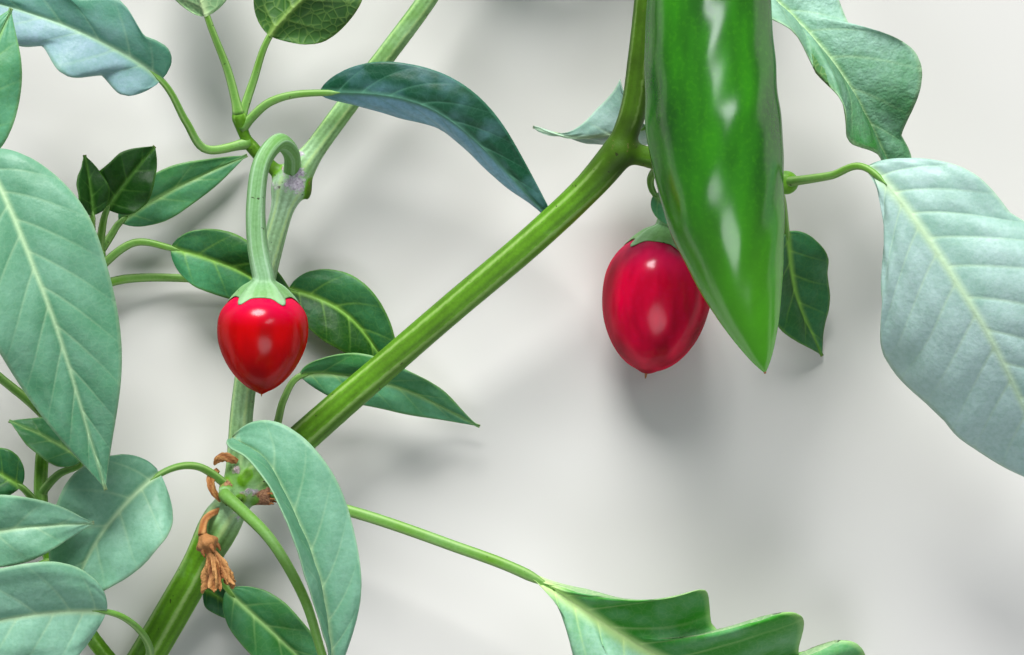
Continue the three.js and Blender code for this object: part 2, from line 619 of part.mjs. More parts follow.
function flowerSolid(flower, carriers) {
  const root = nearest(carriers.get(flower.on), vector(flower.stalk[0])).toArray();
  const stalk = roundSolid(stations(curveThrough([root, ...flower.stalk.slice(1)]), 8), 6,
    (share) => flower.stalkRadius + flower.stalkGain * share ** 4);
  const { ovary, mouth } = flower;
  const bell = roundSolid(stations(curveThrough(flower.bell), 10), 10, (share) => {
    const round = ovary.gain * Math.exp(-(((share - ovary.place) / ovary.spread) ** 2));
    return flower.neckRadius + round + mouth.gain * Math.max(0, share - mouth.start) ** mouth.power;
  });
  return clearOfAll(stalk.add(bell), flower, carriers);
}

// The assembly

function finish(name, colour, solid, roughness) {
  const material = new THREE.MeshStandardMaterial({ color: COLOURS[colour], roughness, metalness: 0 });
  const mesh = new THREE.Mesh(toGeometry(solid), material);
  mesh.name = name;
  return mesh;
}

function buildBranch() {
  const branch = new THREE.Group();
  const carriers = new Map();
  for (const limb of LIMBS) {
    limb.curve = curveThrough(limb.course);
    limb.swollen = () => limbSolid(limb, CLEARANCE);
    const whole = limbSolid(limb);
    const solid = limb.on ? clearOfAll(whole, limb, carriers) : whole;
    carriers.set(limb.name, limb);
    branch.add(finish(limb.name, 'stem', solid, 0.55));
  }
  for (const leaf of LEAVES) branch.add(finish(leaf.name, 'leaf', leafSolid(leaf, carriers), 0.5));
  for (const tip of TIPS) branch.add(finish(tip.name, 'leaf', tipSolid(tip, carriers), 0.5));
  for (const fruit of FRUITS) {
    branch.add(finish(fruit.name, fruit.colour, fruitSolid(fruit), 0.2));
    branch.add(finish(fruit.stalkName, 'pale', stalkSolid(fruit, carriers), 0.5));
  }
  branch.add(finish(FLOWER.name, 'dry', flowerSolid(FLOWER, carriers), 0.9));
  branch.position.set(...SHIFT);
  return branch;
}

export default buildBranch();
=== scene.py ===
# The looks of a cut, fruiting branch of a chilli pepper plant: every limb, leaf, fruit
# and flower is grown again, finer, by the rule that its solid was made with.
# The tables are in millimetres, in the plan of the branch, and a mesh is in metres.

import math

import bpy
import numpy as np
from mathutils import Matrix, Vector, kdtree


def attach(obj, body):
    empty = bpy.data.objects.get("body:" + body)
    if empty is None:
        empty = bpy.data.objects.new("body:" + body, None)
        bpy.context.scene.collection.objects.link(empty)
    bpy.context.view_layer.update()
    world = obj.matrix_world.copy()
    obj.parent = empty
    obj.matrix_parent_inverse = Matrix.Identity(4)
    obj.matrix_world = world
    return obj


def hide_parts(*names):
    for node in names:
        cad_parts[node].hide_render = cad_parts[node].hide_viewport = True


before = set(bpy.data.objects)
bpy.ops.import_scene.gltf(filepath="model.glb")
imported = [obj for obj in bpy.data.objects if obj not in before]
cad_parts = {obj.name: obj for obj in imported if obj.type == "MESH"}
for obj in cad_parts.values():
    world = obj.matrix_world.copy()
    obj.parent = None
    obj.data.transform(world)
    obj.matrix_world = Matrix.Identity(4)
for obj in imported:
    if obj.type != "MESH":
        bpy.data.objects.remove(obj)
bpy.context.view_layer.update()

MM = 0.001
SHIFT = np.array([3.5, -16.3, -0.2])  # from the plan to the branch's own origin

# The camera looks straight down on the plane of focus
FOCUS_HEIGHT = 20
CAMERA_DISTANCE = 900
PICTURE_HALF_WIDTH = 120.3

# Limbs: shade is the colour at both ends, from pale through green to old. nodes lists
# swellings by place, gain and spread, cork lists corky patches by place, angle, spread,
# width and strength, and age_and_painted_light lists places where shade moves, by place,
# depth and spread: darker old bark about the fork, and on the main stem a paler patch of
# painted light above the low node and a darker stretch along its middle. A place is a share
# of the limb's length
LIMBS = [
    dict(name="main_stem", sides=64, diameters=(8.7, 6.9), shade=(0.5, 0.54),
         # Darker old bark at the fork, a paler patch of painted light above the low node, darker along
         # the middle
         age_and_painted_light=[(1.0, 0.45, 0.07), (0.33, -0.3, 0.06), (0.65, 0.14, 0.14)],
         course=[(-96, -93, 4.6), (-86.3, -76.9, 6.5), (-76.6, -60.5, 9.5), (-65.3, -40.8, 14),
                 (-49.9, -26.5, 18), (-32.8, -11.6, 21.5), (-14.5, 4.1, 25.5), (5.3, 20.8, 30),
                 (18.1, 32.8, 33.5), (25.5, 41.5, 36.4)],
         nodes=[(0.29, 0.18, 0.035), (0.34, -0.06, 0.03), (0.62, -0.07, 0.2), (0.99, 0.16, 0.04)],
         cork=[(0.325, -0.75, 0.01, 0.35, 0.8), (0.345, -0.2, 0.006, 0.3, 0.6)]),
    dict(name="upper_stem", sides=48, diameters=(6.6, 5), shade=(0.95, 0.8),
         course=[(24.2, 39.6, 35.8), (27.9, 50.1, 38), (29.4, 61.5, 40), (30.7, 75.1, 42),
                 (32, 94.4, 44)],
         nodes=[(0.99, 0.2, 0.06)]),
    dict(name="right_limb", sides=40, diameters=(5.4, 4.2), shade=(0.5, 0.5),
         age_and_painted_light=[(0.0, 0.42, 0.25)],
         course=[(24.9, 41, 36), (38.8, 37.6, 35), (52.7, 34.5, 35), (63.5, 33.4, 37)],
         nodes=[(0.97, 0.3, 0.06)]),
    dict(name="side_stem", sides=56, diameters=(5.7, 5.2), shade=(0.3, 0.1),
         course=[(-65.1, -38.5, 14.4), (-63.5, -17.1, 16), (-58.9, 8.8, 18), (-54.1, 27.7, 18.5),
                 (-51.8, 35.4, 18.5)],
         nodes=[(0.02, 0.2, 0.06), (0.97, 0.7, 0.05)],
         cork=[(0.985, -0.35, 0.03, 0.75, 1.0), (0.96, 0.9, 0.02, 0.4, 0.6)]),
    dict(name="upper_limb", sides=48, diameters=(5.2, 4.6), shade=(0.22, 0.4),
         course=[(-52, 34.6, 18.5), (-47.1, 41.1, 18.5), (-39.3, 51.7, 18.5), (-29.1, 64.7, 20),
                 (-19.2, 78, 22), (-11.7, 90.7, 24)],
         nodes=[(0.04, 0.45, 0.06), (0.99, 0.2, 0.05)],
         cork=[(0.03, 0.1, 0.035, 0.8, 0.9), (0.09, 0.6, 0.02, 0.4, 0.5)]),
    dict(name="leaf_shoot", sides=36, diameters=(3.6, 3), ribs=4, shade=(0.85, 0.62),
         course=[(-52.4, 34.4, 18.5), (-58.8, 39.9, 19.5), (-62.9, 45.2, 21), (-64, 50, 22.5)],
         nodes=[(0.95, 0.3, 0.1)]),
    dict(name="left_shoot", sides=36, diameters=(4, 2.8), shade=(0.5, 0.45),
         course=[(-91.6, -85, 5.6), (-102.3, -70.1, 9), (-110.5, -51.7, 10), (-111.7, -31.5, 10),
                 (-107, -10.1, 9.5), (-100.9, 8.9, 9), (-98.2, 18.4, 9)],
         nodes=[(0.98, 0.35, 0.03)]),
]
STUB = dict(course=[(-64, -39.6, 14.4), (-56.6, -39.8, 16.8)], diameters=(5, 4.4), fibres=11)

# A limb's skin: how far apart its rows are, then its ribs, grooves and unevenness, with
# widths in radians and heights as shares of the radius
LIMB_ROW = 0.5
LIMB_RIBS = 5
RIB = dict(width=0.16, height=0.05)
GROOVE = dict(beside=0.36, width=0.13, depth=0.014)
STREAK_HEIGHT = 0.008
LUMP_HEIGHT = 0.03
CORK_HEIGHT = 0.03
SKIN_SUNK = 0.02

# The cut across the foot, from the bark to the pith: each ring's radius, as a share, depth
# and greenness; then the rim's share of the stem, and how far it lies over the stem's end
CUT_RINGS = np.array([(1.0, 0.0, 1.0), (0.93, 0.12, 0.9), (0.86, 0.06, 0.6), (0.7, 0.0, 0.25),
                      (0.45, 0.06, 0.1), (0.25, 0.16, 0.0)])
CUT_RIM = 0.985
CUT_LAID_OVER = 0.22

# Swellings, buds and scars at the nodes, and a dark bump of painted shade in a hollow at the low node,
# fused with the limbs: place, radii, shade and cork
KNUCKLES = [
    ((25.2, 41, 36.2), (4.3, 4.3, 4.0), 0.95, 0.1),
    ((-51.8, 35.2, 18.6), (3.9, 3.9, 3.7), 0.3, 0.55),
    ((-48.2, 33.7, 18.7), (1.4, 3.9, 1.8), 0.92, 0.25),
    ((-54.6, 33.6, 19.4), (1.3, 2.0, 1.5), 0.9, 0.45),
    ((-63.2, -36.2, 18.2), (1.3, 1.5, 1.5), 0.55, 0.0),
    ((-67.6, -37.4, 17.2), (1.7, 1.8, 1.7), 0.6, 0.6),
    ((-61.6, -38.2, 17.5), (2.3, 1.5, 1.3), 0.3, 0.62),
    ((-61.9, -34.6, 18.2), (1.1, 1.2, 1.2), 0.75, 0.0),
    # A dark bump of painted shade, for the hollow at the low node
    ((-63.9, -40.6, 18.4), (1.0, 0.8, 0.9), 1.0, 0.1),
    ((-65.0, -33.4, 17.9), (1.2, 1.0, 1.1), 0.35, 0.5),
    ((-60.2, -36.4, 17.4), (0.9, 1.1, 1.0), 0.55, 0.7),
    ((-64.1, 50.2, 22.6), (1.5, 1.4, 1.4), 0.6, 0.0),
    ((-67.6, -38.6, 18.4), (1.9, 1.6, 1.6), 0.3, 0.1),
    ((-63.3, 48.0, 21.8), (1.95, 2.2, 1.9), 0.66, 0.0),
    ((63.2, 33.4, 36.8), (2.9, 2.8, 2.7), 0.5, 0.0),
    ((-98.6, 17.2, 9.2), (2.1, 2.3, 2.0), 0.5, 0.0),
]
KNUCKLE_ROWS = np.linspace(0.04, 0.96, 17)

# The skin that joins the limbs: its grid, and where it is rounded off and how far about
STEM_VOXEL = 0.4
JOINTS = [((25.2, 41, 36.2), 8), ((-52, 34.8, 18.6), 6.5), ((-64.5, -38.6, 15), 8),
          ((-62.9, 46, 21.4), 3.5), ((-91.6, -85, 5.6), 6)]

# Leaves, as in the solids, with a thinner blade
BLADE_THICKNESS = 0.42
BLADE_LEAST_HALF = 0.45
MIDRIB_START = 0.07
PETIOLE_DIAMETER = 2.3
PETIOLE_END = 0.62
FOOT_DIAMETER = 3.2
FOOT_SHARE = 0.125

# Side veins: where each leaves the midrib and meets the margin, its bend and breadth, how
# far the blade swells between veins, and how far they sink
VEIN_START_POWER = 1.4
VEIN_END_POWER = 1.3
VEIN_BEND = 1.15
VEIN_WIDTH = 0.055
VEIN_SPACING = 8
VEIN_PUFF = 0.2
VEIN_SINK = 0.1
ROWS_NEAR_VEIN = (-0.15, -0.06, 0.0, 0.06, 0.15)

# What a leaf has where its row doesn't say otherwise. fold is how far its sides fold up, in
# degrees, or each side where they differ, left first. painted_sheen is how much painted sheen,
# the sky's reflection laid into the colour, its left and right take, and how much that grows
# towards its tip. widest and full shape its outline. wave is how far its margin rises and
# falls, as a share of the width, and waves how often. lobe is the depth and number of its
# lobes and where each side's begin; first_lobe holds back the left ones, plain_base keeps the
# base plain, and slim narrows each side there
LEAF_PLAIN = dict(fold=12, painted_sheen=(0.4, 0.4, 0), widest=0.36, full=0.62, wave=0.045, waves=2.2,
                  lobe=(0, 0, (0, 0)), first_lobe=-math.inf, plain_base=0.01, slim=(0, 0),
                  rib=1, thick_petiole=1, petiole_end=PETIOLE_END)


def a_leaf(title, on, look, width, face, painted_sheen=LEAF_PLAIN["painted_sheen"], **more):
    """A leaf's row: its limb, its look, its width, and which way its upper side faces."""
    row = dict(name="leaf_" + title, on=on, look=look, width=width, face=face, painted_sheen=painted_sheen)
    return {**LEAF_PLAIN, **row, **more}


LEAVES = [
    a_leaf("low_left", "main_stem", "pale", 27, (0.1, 0.25, 1), (0.7, 0.5, 0.1), fold=14,
           petiole=[(-66.5, -38, 16), (-74.1, -32.5, 22)],
           blade=[(-82.1, -34.2, 27), (-94.9, -47.6, 33), (-104.5, -66.2, 30)]),
    a_leaf("centre_front", "main_stem", "pale", 23.5, (0.1, 0.05, 1), (0.4, 0.6, 0.0), fold=(74, 10),
           widest=0.62, full=0.95, wave=0.03, rib=1.2, thick_petiole=1.35,
           petiole=[(-66.9, -40.5, 18), (-67.4, -39.4, 20.2), (-62.4, -43.4, 24.8), (-56.1, -49.3, 30),
                    (-47.5, -62.5, 41), (-43.4, -74, 47)],
           blade=[(-41, -80, 51), (-43.3, -57.3, 57), (-50.4, -39, 58), (-56.2, -29.4, 56),
                  (-63.6, -25.2, 51)]),
    a_leaf("top_left", "leaf_shoot", "lavender_sheen", 18, (0.1, -0.1, 1), (0.55, 0.1, 0.1), full=0.4,
           wave=0.09, waves=2.6, lobe=(0.2, 3.1, (-0.16, 1.25)),
           petiole=[(-61.4, 43.6, 20.4), (-71.8, 41.8, 24), (-75.9, 47.9, 28)],
           blade=[(-81.3, 57.3, 33), (-99.3, 68, 38), (-126.5, 77.4, 32)]),
    a_leaf("top_pale", "leaf_shoot", "pale", 24, (0.5, 0.1, -1), (0.5, 0.3, 0.0),
           petiole=[(-64, 50.5, 22.5), (-66.4, 59.8, 24)],
           blade=[(-71, 72.5, 28), (-75.3, 88.9, 29), (-78.8, 113, 16)]),
    a_leaf("top_dark", "leaf_shoot", "dusk", 24, (0.1, 0.35, -1), (0.1, 0.1, 0.0), fold=10,
           petiole=[(-63.6, 48.6, 22), (-60.7, 57.5, 22.5)],
           blade=[(-56.6, 68.1, 25), (-45.8, 79.9, 27), (-32.8, 95.2, 31)]),
    a_leaf("arched", "leaf_shoot", "teal", 17.5, (-0.25, -0.45, 0.85), (-0.4, 0.7, 0.45),
           fold=(-28, -36), wave=0.03,
           petiole=[(-63.2, 46.8, 21.6), (-56.1, 52.9, 25)],
           blade=[(-44.8, 54.7, 27), (-19, 50.8, 31), (11.3, 23.4, 20)]),
    a_leaf("small_upper", "left_shoot", "dusk", 14, (0, -0.3, 1), (-0.2, -0.1, 0.0), fold=18,
           full=0.5, wave=0.08,
           petiole=[(-98.4, 18.2, 9.4), (-96.6, 25.9, 13)],
           blade=[(-95.8, 28, 13.5), (-90.6, 35.2, 15), (-84.5, 42.9, 14)]),
    a_leaf("small_narrow", "left_shoot", "dusk", 9, (0.6, -0.2, 1), (-0.2, -0.2, 0.1), fold=25,
           petiole=[(-99, 15.4, 9.4), (-99.2, 23.9, 15.5)],
           blade=[(-98.9, 26.5, 17), (-99.4, 33.5, 19), (-100.6, 40.6, 18.5)]),
    a_leaf("back_narrow", "left_shoot", "mid", 11.5, (0.1, -0.2, 1), (0.4, 0.5, 0.0),
           petiole=[(-98.6, 16.6, 9), (-95.5, 22.1, 6.6)],
           blade=[(-93.5, 25.1, 6.2), (-81.5, 32.6, 6), (-63.3, 41.2, 4)]),
    a_leaf("behind_fruit", "left_shoot", "deep", 15.5, (0.05, -0.1, 1), (0.35, 0.7, -0.2), fold=10,
           wave=0.05,
           petiole=[(-99.6, 13.6, 9), (-89.4, 20.1, 12.4)],
           blade=[(-80.8, 18.8, 13), (-66.8, 14.4, 12), (-50.5, 5.4, 9)]),
    a_leaf("behind_stem", "left_shoot", "deep", 17, (0, 0.1, 1), (0.3, 0.1, 0.0),
           petiole=[(-100.6, 9.4, 9), (-92, 11.6, 6.2), (-72, 11.4, 4)],
           blade=[(-53.4, 9.2, 4), (-39.4, 3, 5), (-26.8, -13.8, 2.4)]),
    a_leaf("big_left", "left_shoot", "pale", 32, (0.15, 0.1, 1), (0.6, 0.55, -0.4), fold=8,
           wave=0.035,
           petiole=[(-110, -22, 10), (-128, -2, 26), (-128.7, 24.8, 42)],
           blade=[(-121, 38, 51), (-105.9, 8.5, 56), (-92.7, -37.1, 46)]),
    a_leaf("far_left", "left_shoot", "mid", 22, (0.3, 0, 1), (0.7, 0.7, 0.0), fold=10,
           petiole=[(-106, -8.5, 9.6), (-124, 12, 22), (-132, 28, 38)],
           blade=[(-130.5, 38, 47), (-122, 52, 53), (-113.7, 72.5, 50)]),
    a_leaf("under_stem", "main_stem", "mid", 13, (-0.05, -0.35, 1), (0.35, 0.6, 0.1), fold=14,
           wave=0.07,
           petiole=[(-56.6, -33, 16), (-55.5, -22.8, 14), (-53.9, -16.7, 13)],
           blade=[(-50.2, -11.5, 12), (-29, -13.6, 10), (-7.7, -23.6, 5)]),
    a_leaf("low_right", "main_stem", "fresh", 41, (0, -0.3, 0.95), (0.05, 0.7, 0.15), fold=22,
           full=0.95, widest=0.52, lobe=(0.4, 3.9, (-0.3, 2.6)), first_lobe=7.85, plain_base=0.34,
           slim=(0.85, 0.65), wave=0.08, waves=3.2, thick_petiole=1.2, petiole_end=0.95, rib=2.6,
           petiole=[(-62.5, -37.4, 15.5), (-38, -43.1, 21), (-14.5, -50.7, 26)],
           blade=[(4.2, -57.8, 29), (34.5, -76.5, 27), (60, -84.5, 18), (86, -88, 0.6)]),
    a_leaf("top_right", "upper_stem", "crinkled", 27, (0.1, 0.1, 1), (1.1, 0.8, -0.9), fold=(10, 58),
           full=0.8, widest=0.5, lobe=(0.32, 2.2, (-0.26, -0.6)), wave=0.06, waves=3.6,
           petiole=[(31.6, 85.5, 43), (44.4, 88.8, 37)],
           blade=[(56.1, 80.2, 34), (74.9, 60.2, 36), (90.6, 32.5, 27)]),
    a_leaf("big_right", "right_limb", "silver_sheen", 50, (0.15, 0.1, 1), (0.65, 0.95, 0.15),
           fold=(8, -44), full=0.85, widest=0.48, lobe=(0.1, 2.4, (0.4, 0.2)), slim=(0, 0.7), rib=1.6,
           petiole=[(62.9, 33.5, 37), (72.1, 34.4, 52)],
           blade=[(79.5, 35.8, 60), (102.8, 4.1, 66), (126, -38, 44)]),
    a_leaf("curled", "upper_stem", "silver_sheen", 26, (0, 0.1, 1), (0.8, 0.6, 0.0), fold=(-84, 15),
           full=0.4, widest=0.12, wave=0.02,
           petiole=[(29.2, 60, 39), (36, 57, 32)],
           blade=[(31.5, 46.8, 26), (21, 44.8, 24), (12.8, 44.6, 23), (4.9, 47, 21)]),
    a_leaf("under_fork", "right_limb", "mid", 9, (0, -0.2, 1),
           petiole=[(35.1, 38.6, 35), (32.2, 34.3, 29)],
           blade=[(33.2, 31, 28.5), (38.7, 27.4, 29), (44.8, 23.6, 29)]),
    a_leaf("hanging", "right_limb", "deep", 19, (0.3, 0.2, 1), (0.55, 0.3, 0.0), fold=10,
           petiole=[(60.6, 33.6, 36), (63.2, 29.4, 26)],
           blade=[(64.6, 22.4, 20), (67.4, 7.9, 11), (74.3, -6.8, 1.6)]),
    a_leaf("dark_low", "main_stem", "deep", 8, (0, -0.2, 1), fold=15,
           petiole=[(-84.4, -73, 7), (-77.4, -64.6, 4)],
           blade=[(-74.2, -62.6, 4), (-69.4, -65, 4), (-63.4, -70.6, 2.4)]),
    a_leaf("left_small", "left_shoot", "mid", 11, (0.2, 0.4, 1),
           petiole=[(-111.8, -38.9, 10.5), (-107, -34.6, 15)],
           blade=[(-101.4, -31.8, 17), (-109.3, -26.2, 18), (-118.6, -22, 17)]),
    a_leaf("left_dark", "left_shoot", "deep", 12, (0.1, 0, 1), fold=8,
           petiole=[(-111.6, -43.4, 10), (-114.5, -39.2, 14)],
           blade=[(-116, -37.6, 15), (-121.2, -34.4, 15), (-129.5, -30, 11)]),
    a_leaf("bottom_left", "main_stem", "pale", 27, (0, -0.25, 1), (0.85, 0.85, 0.0), fold=10,
           petiole=[(-91.4, -85, 7), (-84.9, -75.8, 22), (-88, -68.5, 33)],
           blade=[(-93.5, -65.5, 38), (-113.8, -66.3, 44), (-138.9, -74, 36)]),
    a_leaf("left_low", "left_shoot", "pale", 17, (0, -0.1, 1), (0.6, 0.6, 0.0),
           petiole=[(-108.8, -56, 10), (-119, -58, 24), (-128, -54, 32)],
           blade=[(-128, -49.5, 36), (-115.3, -46.4, 40), (-96.3, -45, 37)]),
    a_leaf("bottom_back", "main_stem", "mid", 15, (0, -0.1, 1), (0.3, 0.2, 0.0),
           petiole=[(-71.2, -51.1, 12), (-69.6, -58.4, 10)],
           blade=[(-67.6, -62.2, 9.5), (-56.6, -72.7, 9), (-40.5, -88.6, 3)]),
]

# Leafy tips, their leaves by the solids' own rule, and young leaves between those: the
# first one's place, turn and length, each with its step to the next
TIPS = [
    dict(name="leafy_tip_upper", on="upper_limb", grow=(0.35, 1, -0.12), droop=0.06,
         length=20, leaves=5, seed=3, look="mid"),
    dict(name="leafy_tip_top", on="upper_stem", grow=(0.22, 1, -0.72), droop=0.2,
         length=28, leaves=5, seed=8, look="deep"),
]
TIP_SHOOT = dict(diameters=(3.8, 1.8), bend=(1.2, 0, 1))
TIP_LEAF = dict(first=0.3, turn=2.4, flat=0.55, length=(46, 22), width=0.42, fold=12, stalk=1.9,
                opening=(1.25, 0.45), forward=(0.6, 1.1), reach=(0.22, 0.62, 1.15), arch=0.03,
                stray=0.5, uneven=0.2, tilt=0.2, wave=0.06)
YOUNG_LEAF = dict(count=6, first=np.array([0.5, 1.2, 17]), step=np.array([0.09, 2.4, -1.9]),
                  tilt=0.4, seed=20)
SEED_STEP = 7919

# Fruit outlines, as in the solids, with a blunter end
HEART = dict(widest=0.36, shoulder=2.3, point=0.57)
EGG = dict(widest=0.42, shoulder=2.3, point=1.85)
HORN = dict(shoulder=0.12, neck=0.86, full=0.4, point=0.74)
LEAST_POINT = 0.02

# Fruits: lobes is how many soft lobes each has and how deep they are, undulation how uneven
# its skin is, tint_and_sheen how strongly its second colour lies at its shoulder and at its
# end, which is painted sheen on a red pod's shoulder and a lighter green at the green pod's
# end, nipple how far its end is drawn out, and style the thickness and length of what is left
# of the flower there. turned is the angle of its cap's first tooth
FRUITS = [
    dict(name="red_fruit_front", stalk_name="stalk_front", on="side_stem", outline="heart",
         look="pod", diameter=21.6, tint_and_sheen=(0.7, 0), lobes=(2, 0.02), undulation=0.016,
         axis=((-57.7, -3.3, 34.5), (-0.02, -1, -0.06), 23.6),
         stalk=[(-52.4, 34.6, 19), (-51.6, 40.8, 25), (-54.3, 43, 31), (-57.8, 38.3, 34),
                (-59.2, 28.3, 35), (-58.8, 19, 35)],
         stalk_diameters=(3.8, 5.1), cap=dict(width=15.4, neck=3, turned=-0.24),
         nipple=0.35, style=(0.28, 0.1, 0.5)),
    dict(name="red_fruit_right", stalk_name="stalk_right", on="right_limb", outline="egg",
         look="crimson", diameter=26.4, tint_and_sheen=(0.5, 0), lobes=(3, 0.03), undulation=0.02,
         axis=((33.9, 5.7, 13.6), (-0.13, -1, -0.03), 32.6),
         stalk=[(37, 38, 35), (38.6, 34.5, 26), (37.4, 28.6, 18)],
         stalk_diameters=(3.8, 4.6), cap=dict(width=17, neck=2.6, turned=0),
         nipple=0.5, style=(0.42, 0.16, 1.1)),
    dict(name="green_fruit", stalk_name="stalk_green", on="upper_stem", outline="horn",
         look="green", diameter=31, tint_and_sheen=(0, 0.6), lobes=(3, 0.04), undulation=0.042,
         course=[(43.7, 86.9, 66), (43.7, 59.6, 66), (47.2, 28.5, 64), (56.9, -10, 58)],
         stalk=[(31.7, 89, 43.6), (33.2, 96, 52), (37.6, 100.5, 61)],
         stalk_diameters=(4.6, 5.4), cap=dict(width=20, neck=4, turned=0),
         nipple=0.2, style=(0.4, 0.2, 0.2)),
]
FRUIT_GRID = 120
NIPPLE_START = 0.985
STALK_ROW = 0.6
STALK_SWELL = 1.5
CAP_TEETH = 5
CAP_TOOTH = 0.16
CAP_THICKNESS = 0.7
CAP_LIFT = 0.25

# The dried flower, whose sepals start at one row of its bell
FLOWER = dict(
    name="dried_flower", on="main_stem",
    stalk=[(-67.5, -41.8, 14.5), (-72, -45, 19), (-72.6, -48.8, 21)],
    bell=[(-72.6, -48.8, 21), (-70.9, -52, 21.6), (-69.6, -55.6, 21.4), (-68.7, -60.8, 20.4)])
PETAL_THICKNESS = 0.3
SEPALS = 5
SEPAL_ROW = 24
SEPAL_RADII = (0.5, 0.62, 0.66, 0.6, 0.5, 0.36, 0.24, 0.14)

# Dry strands left at the low node by fallen stalks
STRANDS = [
    [(-69.2, -33.6, 17), (-70.8, -35.2, 19.6), (-70.2, -38.4, 20), (-68.6, -41, 18.6)],
    [(-64.6, -31.6, 18.6), (-66.8, -30.6, 19.4), (-69, -30.8, 18.8), (-70.2, -32.4, 17.6)],
]


# Curves


class Course:
    """A smooth curve through a few points, walked by the share of its length."""

    STEPS = 80

    def __init__(self, points):
        knots = np.array(points, float)
        ends = [2 * knots[0] - knots[1], *knots, 2 * knots[-1] - knots[-2]]
        pieces = [self.piece(*ends[i:i + 4]) for i in range(len(knots) - 1)]
        self.line = np.vstack([*pieces, knots[-1:]])
        steps = np.linalg.norm(np.diff(self.line, axis=0), axis=1)
        run = np.concatenate([[0], np.cumsum(steps)])
        self.length = run[-1]
        self.run = run / self.length

    def piece(self, before, start, end, after):
        first, middle, last = (math.sqrt(np.linalg.norm(b - a)) or 1
                               for a, b in ((before, start), (start, end), (end, after)))
        leave = (start - before) / first - (end - before) / (first + middle) + (end - start) / middle
        arrive = (end - start) / middle - (after - start) / (middle + last) + (after - end) / last
        leave, arrive = leave * middle, arrive * middle
        t = (np.arange(self.STEPS) / self.STEPS)[:, None]
        square = -3 * start + 3 * end - 2 * leave - arrive
        cube = 2 * start - 2 * end + leave + arrive
        return start + leave * t + square * t ** 2 + cube * t ** 3

    def share_of(self, knot):
        return self.run[knot * self.STEPS]

    def at(self, share):
        share = np.clip(share, 0, 1)
        return np.stack([np.interp(share, self.run, self.line[:, k]) for k in range(3)], -1)

    def along(self, share):
        share = np.asarray(share, float)
        step = 0.6 / self.length
        return unit(self.at(np.minimum(share + step, 1)) - self.at(np.maximum(share - step, 0)))


def unit(way):
    return way / np.linalg.norm(way, axis=-1, keepdims=True)


def stations(course, shares):
    """Points along a course, with the directions along it and two ways across it."""
    points, along = course.at(shares), course.along(shares)
    across = np.empty_like(along)
    way = np.array([1.0, 0, 0]) if abs(along[0, 2]) > 0.9 else np.array([0, 0, 1.0])
    for i, ahead in enumerate(along):
        way = unit(way - ahead * way.dot(ahead))
        across[i] = way
    return points, along, across, np.cross(across, along)


def nearest(course, place):
    points = course.at(np.linspace(0, 1, 81))
    return points[np.argmin(np.linalg.norm(points - place, axis=1))]


def straight(centre, way, length):
    half = unit(way) * length / 2
    return Course([centre - half, centre + half])


def angles(sides):
    return np.linspace(0, 2 * math.pi, sides, endpoint=False)


def spokes(frames, turn):
    """Ways out from each point of a course, at some angles about it."""
    across, beside = frames[2:]
    return across[:, None] * np.cos(turn)[:, None] + beside[:, None] * np.sin(turn)[:, None]


def grid(rows, sides):
    """A tube's rows, even ones where rows is their number, and its points' shares and angles."""
    rows = np.linspace(0, 1, rows) if isinstance(rows, int) else rows
    return rows, *np.meshgrid(rows, angles(sides), indexing="ij")


def blend(pair, share):
    return pair[0] + (pair[1] - pair[0]) * share


# Uneven surfaces: sums of waves that never quite repeat


def uneven(u, v, seed):
    """A smooth field from about -1 to 1 over two coordinates."""
    total = 0
    for k in range(1, 5):
        a, b = math.sin(seed * 12.9 + k * 4.1), math.cos(seed * 7.7 + k * 2.3)
        pace = 1 + 0.55 * k
        first = np.sin(pace * (a * u + b * v) * 2 + seed * k)
        total = total + first * np.cos(pace * (b * u - a * v) * 1.7 + k) / (1 + 0.3 * k)
    return total / 2.2


def smooth(low, high, value):
    share = np.clip((value - low) / (high - low), 0, 1)
    return share * share * (3 - 2 * share)


def bell(value, spread):
    return np.exp(-(value / spread) ** 2)


def turned(angle):
    """An angle brought into the half turn on either side of nought."""
    return (angle + math.pi) % (2 * math.pi) - math.pi


# Meshes


def into_scene(name, data):
    made = bpy.data.objects.new(name, data)
    bpy.context.scene.collection.objects.link(made)
    return made


